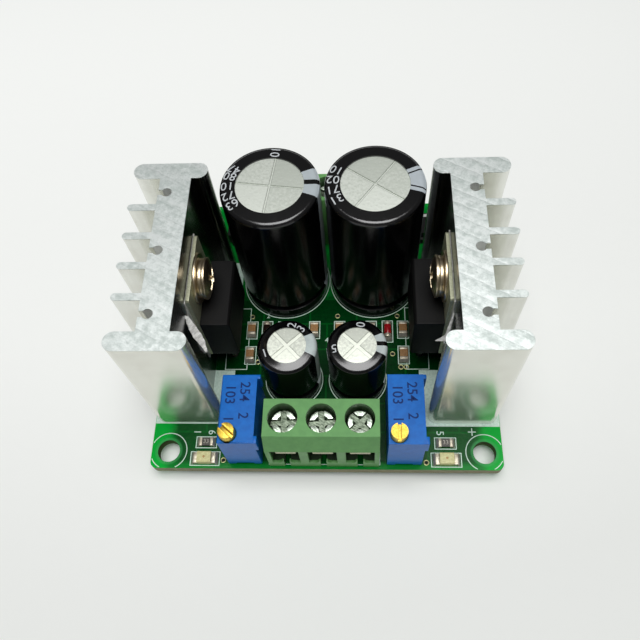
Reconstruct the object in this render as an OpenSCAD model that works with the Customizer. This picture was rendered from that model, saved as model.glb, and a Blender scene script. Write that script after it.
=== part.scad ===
// Dual-rail rectifier filter board: two finned heatsinks with tab-mounted regulators, four upright
// electrolytic capacitors, two multi-turn trimmers and a screw terminal block at each end.
// Millimetres, +Z up, front edge towards -Y. The origin lies under the board's centre, on the
// plane that the heatsinks' solder pins stand on.

/* [Circuit board] */
// Board thickness
board_thickness = 1.6; // [1:0.2:2.4]
// Corner radius
corner_radius = 1; // [0.4:0.1:2]
// Mounting hole diameter
mount_hole = 3.2; // [2.2:0.1:3.6]
// Mounting hole centre to the board's edges
mount_inset = 2.5; // [2.2:0.1:3.5]
// Height of the board's underside above the pins' ends
standoff = 2; // [1.4:0.1:4]
// How far the other leads stop short of the pins' ends
lead_lift = 0.4; // [0.3:0.1:0.8]
// Gap from the front and rear parts to the board's edge
edge_inset = 0.4; // [0.2:0.1:1.5]
// Depth of the open row between the small and the large capacitors
chip_row = 6.5; // [6:0.1:12]

/* [Heatsinks] */
// Length along the board's side
sink_length = 27.5; // [24:0.5:30]
// Height of the sawn extrusion
sink_height = 25; // [23:0.5:35]
// Depth from the flange's inner end to the fin tips
sink_depth = 9.9; // [9:0.1:12]
// Gap from the fin tips to the board's edge
sink_inset = 0.35; // [0.2:0.05:1]
// Gap between the large capacitors and the flanges
sink_gap = 1.2; // [1:0.1:3]
// Middle of the heatsinks, measured from the board's middle
sink_offset = -2.5; // [-3:0.05:-1]
// End flange thickness
flange_thickness = 2.5; // [2:0.1:3]
// Reach of the end flanges inward of the base plate
flange_lip = 2.1; // [1.4:0.1:2.6]
// Base plate thickness
base_thickness = 4.1; // [3.4:0.1:4.6]
// Number of fins between the flanges
fin_count = 4; // [2:2:4]
// Fin spacing, centre to centre
fin_pitch = 4.4; // [4.2:0.1:4.8]
// Fin thickness
fin_thickness = 1; // [0.7:0.1:1.2]
// Diameter of the pin channels and of the pins in them
channel_d = 1.35; // [1.1:0.05:1.5]
// Width of each channel's mouth towards the fins
channel_mouth = 0.8; // [0.5:0.1:1]
// Wall between a channel and the base plate's fin side
channel_wall = 0.45; // [0.3:0.05:0.7]
// Channel spacing, centre to centre
channel_pitch = 8.95; // [8.4:0.05:9.2]
// Length of a solder pin inside its channel
pin_grip = 7; // [5:0.5:10]

/* [Regulators] */
// Width of body and tab
regulator_width = 10.2; // [9.6:0.1:10.8]
// Thickness from the tab's back to the body's face
regulator_thickness = 4.5; // [4.2:0.1:4.8]
// Height of the moulded body
body_height = 9.2; // [8.4:0.1:9.6]
// Height from the body's foot to the tab's top
regulator_height = 15.6; // [15:0.1:16.4]
// Height of the body's foot above the board
regulator_rise = 5.3; // [3.6:0.1:7]
// Tab thickness
tab_thickness = 0.5; // [0.4:0.1:1.5]
// Tab hole diameter
tab_hole = 3.7; // [3.5:0.1:3.9]
// Tab hole centre below the tab's top
tab_hole_drop = 2.8; // [2.6:0.05:3]
// Lead plane in front of the tab's back
lead_plane = 2.6; // [2.3:0.1:2.9]
// Lead spacing, centre to centre
lead_pitch = 2.54; // [2.3:0.01:2.6]
// Lead width below the shoulder
lead_width = 0.8; // [0.6:0.05:0.9]
// Lead width above the shoulder
lead_shoulder = 1.3; // [1:0.1:1.5]
// Lead thickness
lead_thickness = 0.5; // [0.4:0.05:0.6]
// Mica sheet thickness
mica_thickness = 0.1; // [0.05:0.05:0.3]
// Screw diameter
screw_d = 3; // [2.5:0.1:3]
// Screw length under the head
screw_length = 5.5; // [5:0.5:9]
// Screw head diameter
screw_head_d = 5.6; // [5:0.1:6]
// Screw head height
screw_head_height = 1; // [0.8:0.1:2.4]
// Flat washer thickness
flat_washer = 0.4; // [0.3:0.1:0.8]
// Spring washer thickness
spring_washer_height = 0.6; // [0.5:0.1:1]

/* [Capacitors] */
// Large capacitor diameter over its sleeve
filter_d = 13.3; // [11.5:0.1:14]
// Large capacitor height
filter_height = 24.4; // [20:0.1:30]
// Bare disc on top of a large capacitor
filter_disc = 9.1; // [8:0.1:10]
// Lead spacing of a large capacitor
filter_lead_pitch = 5; // [4:0.1:6]
// Gap between the two large capacitors
filter_gap = 0.5; // [0.3:0.1:3]
// Gap between the large capacitors and the input terminals
filter_setback = 0.4; // [0.3:0.05:2]
// Large capacitors' middle right of the board's middle
filter_shift = 0.35; // [-0.5:0.05:0.5]
// Small capacitor diameter over its sleeve
output_d = 8.2; // [7:0.1:9]
// Small capacitor height
output_height = 12; // [9:0.5:16]
// Bare disc on top of a small capacitor
output_disc = 5.3; // [4.8:0.1:6]
// Lead spacing of a small capacitor
output_lead_pitch = 3.5; // [3:0.1:4]
// Gap between the two small capacitors
output_gap = 1.3; // [0.8:0.1:2.5]
// Gap between the small capacitors and the output terminals
output_setback = 1.4; // [0.6:0.1:3]
// Sleeve wall
sleeve_wall = 0.2; // [0.12:0.02:0.3]
// Shoulder radius of a can
can_shoulder = 0.5; // [0.4:0.1:1.1]
// Fall of a small capacitor's rim from its disc to its shoulder
rim_fall = 0.2; // [0:0.05:0.4]
// Depth of the crimped bead round a can's foot
bead_depth = 0.5; // [0.3:0.1:0.7]
// Height of the bead above the board
bead_height = 2.6; // [2:0.1:4]
// Width of the lines scored across a large capacitor's disc
filter_vent = 0.2; // [0.15:0.05:0.4]
// Width of the lines scored across a small capacitor's disc
output_vent = 0.5; // [0.3:0.05:0.7]
// Depth of the scored vent lines
vent_depth = 0.12; // [0.06:0.02:0.2]
// Large capacitor lead diameter
filter_lead = 0.8; // [0.6:0.05:0.9]
// Small capacitor lead diameter
output_lead = 0.6; // [0.45:0.05:0.7]

/* [Trimmers] */
// Body width
trimmer_width = 4.83; // [4.5:0.01:5.2]
// Body length
trimmer_length = 9.7; // [9:0.01:10]
// Body height above the board
trimmer_height = 9.5; // [9:0.1:11]
// Gap between a trimmer and the output terminals
trimmer_gap = 1.1; // [0.6:0.1:2]
// Gap between a trimmer and the board's front edge
trimmer_set = 0.7; // [0.3:0.1:1.5]
// Foot height under the body
trimmer_foot = 0.4; // [0.2:0.1:0.6]
// Adjusting screw diameter
adjuster_d = 2.2; // [1.8:0.1:2.4]
// Height of the adjusting screw above the body
adjuster_rise = 1.5; // [1:0.1:1.8]
// Depth of the adjusting screw's bore
adjuster_bore = 2; // [1.5:0.1:3]
// Adjusting screw left of the body's middle
adjuster_shift = 1.05; // [0.8:0.05:1.1]
// Adjusting screw behind the body's front end
adjuster_setback = 1.3; // [1.2:0.05:2]
// Pin spacing
trimmer_pitch = 2.54; // [2.3:0.01:2.6]
// Pin diameter
trimmer_pin = 0.5; // [0.4:0.05:0.6]

/* [Terminal blocks] */
// Spacing of the ways
way_pitch = 5.08; // [5:0.01:5.4]
// Housing depth
terminal_depth = 7.7; // [7.4:0.1:8.6]
// Housing height
terminal_height = 10; // [9.6:0.1:12]
// Wall left at each end of the row
end_wall = 0.65; // [0.5:0.05:1]
// Wall between two ways
way_wall = 1.2; // [1:0.05:1.4]
// Height of the wire mouths' upper edge
mouth_top = 6.8; // [5.7:0.1:7]
// Set-back of the front wall's top edge
brow_set = 1.1; // [0.6:0.1:1.3]
// Set-back of the rear wall's top edge
back_set = 1.4; // [0.8:0.1:1.6]
// Thickness of the wall over the wire mouths
brow_wall = 1.3; // [1.1:0.1:1.5]
// Height at which the rear wall starts to lean in
shoulder_height = 6; // [5:0.5:8]
// Height of the sill in front of the clamps
sill_height = 0.9; // [0.6:0.1:1.2]
// Width of the notch in each sill
sill_notch = 0.8; // [0.5:0.1:1.2]
// Width of the ribs beside each notch
sill_rib = 0.2; // [0.15:0.05:0.3]
// Height of those ribs over the sill, and radius at their feet
sill_round = 0.7; // [0.4:0.1:1]
// Thickness of the sill and its ribs, front to back
sill_lip = 0.5; // [0.4:0.1:0.8]
// Screw axis behind the wire face
clamp_set = 3.65; // [3.5:0.05:3.8]
// Well diameter over each screw
well_d = 4; // [3.8:0.05:4.2]
// Clamp screw head diameter
clamp_head_d = 3.6; // [3:0.1:3.7]
// Clamp screw head height
clamp_head_height = 1.3; // [1:0.1:1.5]
// Clamp screw diameter
clamp_screw_d = 2.4; // [2:0.1:2.5]
// Housing floor thickness
terminal_floor = 0.8; // [0.6:0.1:1]
// Height of the contact bar's top
bar_top = 4.6; // [4.4:0.1:4.8]
// Contact sheet thickness
bar_thickness = 0.6; // [0.5:0.05:0.8]
// Contact bar width
bar_width = 2.4; // [2:0.1:2.5]
// Width of the contact bar's tongue in the wire mouth
tongue_width = 2.8; // [2.4:0.1:3.2]
// Tongue's front end behind the wire face
tongue_set = 0.6; // [0.3:0.1:1]
// Solder pin width
terminal_pin = 1; // [0.8:0.05:1.2]
// Cage sheet thickness at the sides and below
cage_wall = 0.45; // [0.35:0.05:0.5]
// Thickness of the cage's threaded top
cage_top = 0.8; // [0.6:0.05:0.9]
// Cage depth
cage_depth = 3.2; // [2.8:0.1:3.4]
// Travel of a cage between open and clamped
cage_travel = 1.35; // [0.9:0.05:1.4]

/* [Chip parts] */
// Chip length
chip_length = 2; // [1.6:0.1:2.2]
// Chip width
chip_width = 1.25; // [0.8:0.05:1.3]
// Chip capacitor height
chip_cap_height = 0.9; // [0.6:0.05:1.2]
// Chip resistor height
chip_res_height = 0.55; // [0.4:0.05:0.7]
// Length of a chip's end terminal
chip_end = 0.4; // [0.25:0.05:0.5]
// Indicator length
led_length = 3.2; // [2:0.1:3.4]
// Indicator width
led_width = 1.6; // [1.2:0.1:1.8]
// Indicator height
led_height = 1.1; // [0.8:0.1:1.3]
// Signal diode length
signal_length = 2.7; // [2:0.1:3.7]
// Signal diode diameter
signal_d = 1.2; // [1:0.1:1.6]
// Middle of the signal diodes in front of the large capacitors
signal_set = 2.6; // [2.2:0.1:3.5]
// Rectifier diode body length
rectifier_length = 4.3; // [4:0.1:4.6]
// Rectifier diode body width
rectifier_width = 2.6; // [2.3:0.1:2.8]
// Rectifier diode height
rectifier_height = 2.2; // [1.9:0.1:2.4]
// Spacing of the two rectifier diodes on each side
rectifier_pitch = 4; // [3.4:0.1:4.6]
// Middle of the chip row in front of the large capacitors
chip_set = 2.3; // [2.2:0.1:3.5]
// Outer chips inside the regulators' leads
chip_lead_gap = 2.45; // [2.3:0.05:3]
// Signal diodes inside the outer chips
signal_pitch = 2.35; // [2.1:0.05:2.6]
// Row resistors inside the outer chips
resistor_pitch = 4.85; // [4.5:0.05:5.2]
// Inner chip capacitors to either side of the middle
inner_chip_x = 1.95; // [1.2:0.05:2.6]
// Front chip capacitors in front of the chip row
chip_row_pitch = 4.3; // [3.5:0.1:4.5]
// Gap between a trimmer and the indicator beside it
led_gap = 1.9; // [1.2:0.1:2.5]
// Indicator's middle behind the board's front edge
led_set = 1.4; // [1.2:0.1:2.2]
// Resistor behind the indicator, middle to middle
led_resistor_pitch = 2.4; // [2:0.05:2.6]
// Gap between the input terminals and the first rectifier diode
rectifier_gap = 2.45; // [1.5:0.05:3]
// Rectifier diodes' middle in front of the board's rear edge
rectifier_set = 5.6; // [4.5:0.1:6.5]

/* [Fits] */
// Radial gap of a lead in its drilled hole
hole_clearance = 0.15; // [0.08:0.01:0.2]
// Radial running gap of a screw that turns
running_gap = 0.05; // [0.03:0.01:0.08]
// Gap beside and under a sliding cage
cage_gap = 0.1; // [0.06:0.01:0.15]
// Gap of the regulator screw in washers and mica
washer_gap = 0.1; // [0.05:0.01:0.15]
// Solder pad reach past its hole
pad_reach = 0.5; // [0.3:0.05:0.6]

/* [Hidden] */
$fn = 48;

// Sides of the board, and how far a cut runs past the faces it opens
left = -1;
right = 1;
over = 0.5;

// Ways in a terminal block
ways = 3;
terminal_width = (ways - 1)*way_pitch + way_pitch - way_wall + 2*end_wall;
cell_width = way_pitch - way_wall;

// The board is as wide and as deep as the rows of parts on it
half_w = filter_gap/2 + filter_d + sink_gap + sink_depth + sink_inset;
board_width = 2*half_w;
board_depth = 2*(edge_inset + terminal_depth) + output_setback + output_d + chip_row + filter_d
    + filter_setback;
half_d = board_depth/2;
top = standoff + board_thickness;

// Capacitor places
filter_x = (filter_gap + filter_d)/2;
filter_y = half_d - edge_inset - terminal_depth - filter_setback - filter_d/2;
output_x = (output_gap + output_d)/2;
output_y = -half_d + edge_inset + terminal_depth + output_setback + output_d/2;

// Heatsink and regulator places, on the right side
sink_inner = half_w - sink_inset - sink_depth;
base_inner = sink_inner + flange_lip;
base_outer = base_inner + base_thickness;
channel_x = base_outer - channel_wall - channel_d/2;
flange_y = (sink_length - flange_thickness)/2;
tab_back = base_inner - mica_thickness;
tab_front = tab_back - tab_thickness;
lead_x = tab_back - lead_plane;
foot_z = top + regulator_rise;
tab_hole_z = foot_z + regulator_height - tab_hole_drop;
head_seat = tab_front - flat_washer - spring_washer_height;

// Trimmer places
trimmer_x = terminal_width/2 + trimmer_gap + trimmer_width/2;
trimmer_y = -half_d + trimmer_set + trimmer_length/2;

// Clamp heights above the board
cage_foot = terminal_floor + cage_gap;
cage_roof = bar_top + cage_gap;
head_foot = cage_roof + cage_top + cage_travel + cage_gap;
chamber_top = head_foot + cage_gap;
cage_width = cell_width - 2*cage_gap;
leg_set = clamp_set + cage_depth/2 + 3*cage_gap;
chamber_back = leg_set + bar_thickness;

// Chip places
chip_y = filter_y - filter_d/2 - chip_set;
signal_y = filter_y - filter_d/2 - signal_set;
outer_chip_x = lead_x - chip_lead_gap;
front_chip_x = trimmer_x + trimmer_width/2 + led_gap + led_length/2;
led_y = led_set - half_d;
front_chip_y = led_y + led_resistor_pitch;
rectifier_x = terminal_width/2 + rectifier_gap + rectifier_width/2;
rectifier_y = half_d - rectifier_set;

// Lead places, as points on the board
function both(points) = concat(points, [for (p = points) [-p.x, p.y]]);
function pair(x, y, pitch) = [[x - pitch/2, y], [x + pitch/2, y]];
function filter_place(side) = filter_shift + side*filter_x;
function way_x(way) = (way - (ways + 1)/2)*way_pitch;
mount_points = both([for (s = [-1, 1]) [half_w - mount_inset, s*(half_d - mount_inset)]]);
sink_pin_points = both([for (s = [-1, 1]) [channel_x, sink_offset + s*channel_pitch]]);
regulator_points = both([for (i = [-1:1]) [lead_x, sink_offset + i*lead_pitch]]);
filter_points = [for (s = [left, right], p = pair(filter_place(s), filter_y, filter_lead_pitch)) p];
output_points = both(pair(output_x, output_y, output_lead_pitch));
trimmer_points = both([for (i = [-1:1]) [trimmer_x, trimmer_y + i*trimmer_pitch]]);
output_pin_points = [for (w = [1:ways]) [way_x(w), -half_d + edge_inset + leg_set + bar_thickness/2]];
terminal_points = concat(output_pin_points, [for (p = output_pin_points) -p]);

// Drilled hole of each kind of lead
sink_pin_hole = channel_d + 2*hole_clearance;
regulator_hole = norm([lead_width, lead_thickness]) + 2*hole_clearance;
filter_hole = filter_lead + 2*hole_clearance;
output_hole = output_lead + 2*hole_clearance;
trimmer_hole = trimmer_pin + 2*hole_clearance;
terminal_hole = norm([terminal_pin, bar_thickness]) + 2*hole_clearance;

// Turns of the two blocks about the board's middle
output_turn = 0;
input_turn = 180;

// Turns that the screws, slots and scored crosses were left at, from left to right
output_cross = [2, 5, 45];
input_cross = [10, 62, 28];
slot_turns = [-40, 90];
filter_vents = [-7.5, 54];
output_vents = [43, 47];

// Draws for the right side, and mirrors for the left
module on_side(side) {
    if (side == left) mirror([1, 0, 0]) children();
    else children();
}

// A profile of (depth, height) points, extruded along X and centred
module extrude_x(length) {
    rotate([90, 0, 90]) linear_extrude(length, center = true) children();
}

// A solid of revolution along +X on the regulator screw's axis, from x
module on_screw_axis(x) {
    translate([x, sink_offset, tab_hole_z]) rotate([0, 90, 0]) children();
}

// The frame of a terminal block: X along the row, +Y inward from its wire face, Z up from the board
module at_block(turn) {
    rotate(turn) translate([0, edge_inset - half_d, top]) children();
}

module circuit_board() {
    module drill(points, d) {
        for (p = points) translate([p.x, p.y, -over]) cylinder(d = d, h = board_thickness + 2*over);
    }
    color([0.05, 0.36, 0.14]) translate([0, 0, standoff]) difference() {
        linear_extrude(board_thickness) {
            square([board_width - 2*corner_radius, board_depth], center = true);
            square([board_width, board_depth - 2*corner_radius], center = true);
            for (x = [-1, 1], y = [-1, 1])
                translate([x*(half_w - corner_radius), y*(half_d - corner_radius)]) circle(corner_radius);
        }
        drill(mount_points, mount_hole);
        drill(sink_pin_points, sink_pin_hole);
        drill(regulator_points, regulator_hole);
        drill(filter_points, filter_hole);
        drill(output_points, output_hole);
        drill(trimmer_points, trimmer_hole);
        drill(terminal_points, terminal_hole);
    }
}

// Section of the extrusion: X from the flanges' inner ends to the fin tips, Y centred
module sink_section() {
    flange_round = flange_thickness/2;
    fin_root = base_outer - sink_inner - channel_wall;
    fin_tip = sink_depth - fin_thickness/2;
    difference() {
        union() {
            for (s = [-1, 1]) translate([0, s*flange_y]) {
                translate([flange_round, -flange_round])
                    square([sink_depth - flange_thickness, flange_thickness]);
                for (x = [flange_round, sink_depth - flange_round]) translate([x, 0]) circle(flange_round);
            }
            translate([flange_lip, -flange_y]) square([base_thickness, 2*flange_y]);
            for (i = [1:fin_count]) translate([0, (i - (fin_count + 1)/2)*fin_pitch]) {
                translate([fin_root, -fin_thickness/2]) square([fin_tip - fin_root, fin_thickness]);
                translate([fin_tip, 0]) circle(d = fin_thickness);
            }
        }
        for (i = [-1:1]) translate([channel_x - sink_inner, i*channel_pitch]) {
            circle(d = channel_d);
            translate([0, -channel_mouth/2]) square([channel_d/2 + channel_wall + over, channel_mouth]);
        }
    }
}

module heatsink(side) {
    color([0.82, 0.84, 0.84]) on_side(side) difference() {
        translate([sink_inner, sink_offset, top]) linear_extrude(sink_height) sink_section();
        on_screw_axis(base_inner - over) cylinder(d = screw_d, h = base_thickness + 2*over);
    }
}

module heatsink_pins(side) {
    color("silver") on_side(side) for (s = [-1, 1])
        translate([channel_x, sink_offset + s*channel_pitch, 0])
            cylinder(d = channel_d, h = top + pin_grip);
}

module regulator_body(side) {
    mould = regulator_thickness - tab_thickness;
    bevel = 0.35;
    color([0.1, 0.1, 0.11]) on_side(side)
        translate([tab_front, sink_offset, foot_z]) rotate([90, 0, 0])
            linear_extrude(regulator_width, center = true)
                polygon([[0, 0], [bevel - mould, 0], [-mould, bevel], [-mould, body_height - bevel],
                         [bevel - mould, body_height], [0, body_height]]);
}

module regulator_tab(side) {
    crop = 0.25;
    half = regulator_width/2;
    color([0.75, 0.74, 0.72]) on_side(side) difference() {
        translate([tab_front + tab_thickness/2, sink_offset, foot_z]) extrude_x(tab_thickness)
            polygon([[-half, 0], [half, 0], [half, regulator_height - crop], [half - crop, regulator_height],
                     [crop - half, regulator_height], [-half, regulator_height - crop]]);
        on_screw_axis(tab_front - over) cylinder(d = tab_hole, h = tab_thickness + 2*over);
    }
}

module regulator_leads(side) {
    shoulder_z = top + 0.5;
    taper_z = shoulder_z + lead_shoulder - lead_width;
    color("silver") on_side(side) for (i = [-1:1])
        translate([lead_x, sink_offset + i*lead_pitch, 0]) extrude_x(lead_thickness)
            polygon([[-lead_width/2, lead_lift], [lead_width/2, lead_lift], [lead_width/2, shoulder_z],
                     [lead_shoulder/2, taper_z], [lead_shoulder/2, foot_z],
                     [-lead_shoulder/2, foot_z], [-lead_shoulder/2, taper_z], [-lead_width/2, shoulder_z]]);
}

// Cut by hand from mica, so its edge is ragged where it shows past the tab
module mica_sheet(side) {
    front = -regulator_width/2 - 0.2;
    rear = regulator_width/2 + 0.3;
    low = tab_hole_drop - regulator_height - 0.7;
    high = tab_hole_drop - 0.2;
    color([0.85, 0.83, 0.72, 0.6]) on_side(side) difference() {
        translate([tab_back + mica_thickness/2, sink_offset, tab_hole_z]) extrude_x(mica_thickness)
            polygon([[front, low], [rear, low], [rear + 0.3, -2], [rear, high], [front, high],
                     [front - 0.15, high - 1.6], [front - 0.7, high - 2.4], [front - 0.7, high - 4.6],
                     [front - 1.1, high - 5.8], [front - 1.4, high - 10.6], [front - 0.8, high - 13],
                     [front - 0.2, high - 14]]);
        on_screw_axis(tab_back - over) cylinder(d = screw_d + 2*washer_gap, h = mica_thickness + 2*over);
    }
}

module regulator_screw(side) {
    recess_width = 0.7;
    recess_length = 3;
    recess_depth = 0.6*screw_head_height;
    // Radius of a domed crown whose rim is two fifths of the head's height
    crown = 0.6*screw_head_height;
    dome = (pow(screw_head_d/2, 2) + crown*crown)/(2*crown);
    color([0.8, 0.72, 0.6]) on_side(side) on_screw_axis(head_seat) difference() {
        union() {
            cylinder(d = screw_d, h = screw_length);
            rotate([180, 0, 0]) rotate_extrude() intersection() {
                square([screw_head_d/2, screw_head_height]);
                translate([0, screw_head_height - dome]) circle(dome, $fn = 96);
            }
        }
        for (turn = [25, 115]) rotate(turn)
            translate([-recess_length/2, -recess_width/2, -screw_head_height - over])
                cube([recess_length, recess_width, recess_depth + over]);
    }
}

module spring_washer(side) {
    slit = 0.6;
    color([0.78, 0.72, 0.62]) on_side(side) on_screw_axis(head_seat) difference() {
        cylinder(d = screw_head_d - 2*washer_gap, h = spring_washer_height);
        translate([0, 0, -over]) cylinder(d = screw_d + 2*washer_gap, h = spring_washer_height + 2*over);
        translate([0, -slit/2, -over]) cube([screw_head_d, slit, spring_washer_height + 2*over]);
    }
}

module flat_washer_ring(side) {
    washer_d = screw_head_d + 1.2;
    color([0.78, 0.74, 0.66]) on_side(side) on_screw_axis(tab_front - flat_washer) difference() {
        cylinder(d = washer_d, h = flat_washer);
        translate([0, 0, -over]) cylinder(d = screw_d + 2*washer_gap, h = flat_washer + 2*over);
    }
}

// Half-section of a round-shouldered cylinder whose rim falls outside the disc
module shoulder_section(r, h, shoulder, disc, fall) {
    shoulder_z = h - fall - shoulder;
    square([r, shoulder_z]);
    translate([r - shoulder, shoulder_z]) circle(shoulder);
    polygon([[0, 0], [r - shoulder, 0], [r - shoulder, h - fall], [disc/2, h], [0, h]]);
}

// Section of the crimped bead, cut from a can of radius r and grown by the sleeve's wall
module bead_section(r, wall) {
    translate([r + bead_depth, bead_height]) circle(2*bead_depth - wall);
}

module can_section(r, h, disc, fall) {
    difference() {
        shoulder_section(r, h, can_shoulder, disc, fall);
        bead_section(r, 0);
    }
}

module capacitor_can(x, y, d, h, disc, fall, vent_width, vent_turn) {
    r = d/2 - sleeve_wall;
    can_height = h - 2*sleeve_wall;
    color([0.8, 0.81, 0.83]) translate([x, y, top + sleeve_wall]) difference() {
        rotate_extrude() can_section(r, can_height, disc, fall);
        for (turn = [0, 90]) rotate(vent_turn + turn)
            translate([-disc/2, -vent_width/2, can_height - vent_depth])
                cube([disc, vent_width, vent_depth + over]);
    }
}

// Shrunk over the can's shoulder and foot, open round the bare disc
module capacitor_sleeve(x, y, d, h, disc, fall) {
    r = d/2 - sleeve_wall;
    color([0.07, 0.07, 0.08]) translate([x, y, top + sleeve_wall]) rotate_extrude() difference() {
        translate([0, -sleeve_wall]) shoulder_section(d/2, h, can_shoulder + sleeve_wall, disc, fall);
        can_section(r, h - 2*sleeve_wall, disc, fall);
        bead_section(r, sleeve_wall);
        translate([0, -sleeve_wall - over]) square([disc/2, h + 2*over]);
    }
}

module capacitor_leads(x, y, pitch, d) {
    color("silver") for (p = pair(x, y, pitch))
        translate([p.x, p.y, lead_lift]) cylinder(d = d, h = top + sleeve_wall - lead_lift);
}

module at_trimmer(side) {
    translate([side*trimmer_x, trimmer_y, top]) children();
}

module trimmer_body(side) {
    foot = 1.2;
    rib = [0.4, 1, 3];
    color([0.1, 0.36, 0.78]) at_trimmer(side) difference() {
        union() {
            translate([-trimmer_width/2, -trimmer_length/2, trimmer_foot])
                cube([trimmer_width, trimmer_length, trimmer_height - trimmer_foot]);
            for (x = [-1, 1], y = [-1, 1])
                translate([x*(trimmer_width - foot)/2, y*(trimmer_length - foot)/2, trimmer_height/4])
                    cube([foot, foot, trimmer_height/2], center = true);
            translate([trimmer_width/2, -trimmer_length/2 + rib.y, trimmer_height - rib.z]) cube(rib);
        }
        translate([-adjuster_shift, adjuster_setback - trimmer_length/2, trimmer_height - adjuster_bore])
            cylinder(d = adjuster_d + 2*running_gap, h = adjuster_bore + over);
    }
}

// Slotted brass adjuster; slot_turn is where it was left
module trimmer_screw(side, slot_turn) {
    slot_width = 0.5;
    slot_depth = 0.75;
    foot = running_gap - adjuster_bore;
    color([0.85, 0.7, 0.36]) at_trimmer(side)
        translate([-adjuster_shift, adjuster_setback - trimmer_length/2, trimmer_height]) difference() {
            translate([0, 0, foot]) cylinder(d = adjuster_d, h = adjuster_rise - foot);
            rotate(slot_turn) translate([-adjuster_d, -slot_width/2, adjuster_rise - slot_depth])
                cube([2*adjuster_d, slot_width, slot_depth + over]);
        }
}

module trimmer_pins(side) {
    color("silver") for (i = [-1:1])
        translate([side*trimmer_x, trimmer_y + i*trimmer_pitch, lead_lift])
            cylinder(d = trimmer_pin, h = top + trimmer_foot - lead_lift);
}

// Section of a wire mouth, centred across: two pockets with a round corner beside the notch's ribs
module mouth_section(sill) {
    pocket = cell_width/2 - sill_notch/2 - sill_rib;
    rib_top = sill + sill_round;
    translate([-cell_width/2, rib_top]) square([cell_width, mouth_top - rib_top]);
    for (side = [left, right]) on_side(side) translate([sill_notch/2 + sill_rib, sill]) {
        translate([sill_round, 0]) square([pocket - sill_round, sill_round + over]);
        translate([0, sill_round]) square([pocket, over]);
        translate([sill_round, sill_round]) circle(sill_round);
    }
}

module terminal_housing(turn) {
    sill = terminal_floor + sill_height;
    color([0.5, 0.74, 0.49]) at_block(turn) difference() {
        extrude_x(terminal_width)
            polygon([[0, 0], [terminal_depth, 0], [terminal_depth, shoulder_height],
                     [terminal_depth - back_set, terminal_height], [brow_set, terminal_height],
                     [0, mouth_top]]);
        for (w = [1:ways]) translate([way_x(w), 0, 0]) {
            // Wire mouth, hollow behind its thin sill, clamp chamber, screw well, pin slot and notch
            translate([0, brow_wall + over, 0]) rotate([90, 0, 0])
                linear_extrude(brow_wall + 2*over) mouth_section(sill);
            translate([-cell_width/2, sill_lip, terminal_floor])
                cube([cell_width, brow_wall - sill_lip + over, sill_height + sill_round + over]);
            translate([-cell_width/2, brow_wall, terminal_floor])
                cube([cell_width, chamber_back - brow_wall, chamber_top - terminal_floor]);
            translate([0, clamp_set, chamber_top - over]) cylinder(d = well_d, h = terminal_height);
            translate([-terminal_pin/2, leg_set, -over])
                cube([terminal_pin, bar_thickness, terminal_floor + 2*over]);
            translate([-sill_notch/2, -over, -over])
                cube([sill_notch, brow_wall + 2*over, sill + sill_round + 2*over]);
        }
    }
}

// Axially captive: it turns in place and draws its cage up. cross_turn is where it was left
module clamp_screw(turn, way, cross_turn) {
    arm_width = 0.8;
    recess_depth = 0.6;
    hub_d = 1.9;
    chamfer = 0.2;
    head_top = head_foot + clamp_head_height;
    color([0.85, 0.86, 0.88]) at_block(turn) translate([way_x(way), clamp_set, 0]) difference() {
        union() {
            translate([0, 0, bar_top + running_gap]) cylinder(d = clamp_screw_d, h = head_foot - bar_top);
            translate([0, 0, head_foot]) cylinder(d = clamp_head_d, h = clamp_head_height - chamfer);
            translate([0, 0, head_top - chamfer])
                cylinder(d1 = clamp_head_d, d2 = clamp_head_d - 2*chamfer, h = chamfer);
        }
        for (a = [0, 90]) rotate(cross_turn + a)
            translate([-clamp_head_d, -arm_width/2, head_top - recess_depth])
                cube([2*clamp_head_d, arm_width, recess_depth + over]);
        translate([0, 0, head_top - recess_depth]) cylinder(d1 = arm_width, d2 = hub_d, h = recess_depth);
    }
}

// A loop of sheet round the contact bar, threaded on the clamp screw
module clamp_cage(turn, way) {
    height = cage_roof + cage_top - cage_foot;
    hollow = [cage_width - 2*cage_wall, cage_depth + 2*over, cage_roof - cage_foot - cage_wall];
    color([0.72, 0.72, 0.7]) at_block(turn) translate([way_x(way), clamp_set, 0]) difference() {
        translate([-cage_width/2, -cage_depth/2, cage_foot]) cube([cage_width, cage_depth, height]);
        translate([-hollow.x/2, -hollow.y/2, cage_foot + cage_wall]) cube(hollow);
        translate([0, 0, cage_roof - over])
            cylinder(d = clamp_screw_d + 2*running_gap, h = cage_top + 2*over);
    }
}

// Contact bar under the screw, with a wider tongue in the mouth, bent down behind the cage into its pin
module terminal_contacts(turn) {
    tongue_length = clamp_set - cage_depth/2 - 2*cage_gap - tongue_set;
    color([0.76, 0.74, 0.66]) at_block(turn) for (w = [1:ways]) translate([way_x(w), 0, 0]) {
        translate([-bar_width/2, tongue_set, bar_top - bar_thickness])
            cube([bar_width, chamber_back - tongue_set, bar_thickness]);
        translate([-tongue_width/2, tongue_set, bar_top - bar_thickness])
            cube([tongue_width, tongue_length, bar_thickness]);
        translate([-bar_width/2, leg_set, terminal_floor])
            cube([bar_width, bar_thickness, bar_top - terminal_floor]);
        translate([-terminal_pin/2, leg_set, lead_lift - top])
            cube([terminal_pin, bar_thickness, top - lead_lift + bar_top]);
    }
}

// A chip lying along Y, with a terminal wrapped round each end
module chip(x, y, length, width, height) {
    wrap = 0.04;
    translate([x, y, top]) {
        translate([0, 0, height/2])
            cube([width - 2*wrap, length - chip_end, height - 2*wrap], center = true);
        for (s = [-1, 1]) translate([0, s*(length - chip_end)/2, height/2])
            cube([width, chip_end, height], center = true);
    }
}

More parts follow.
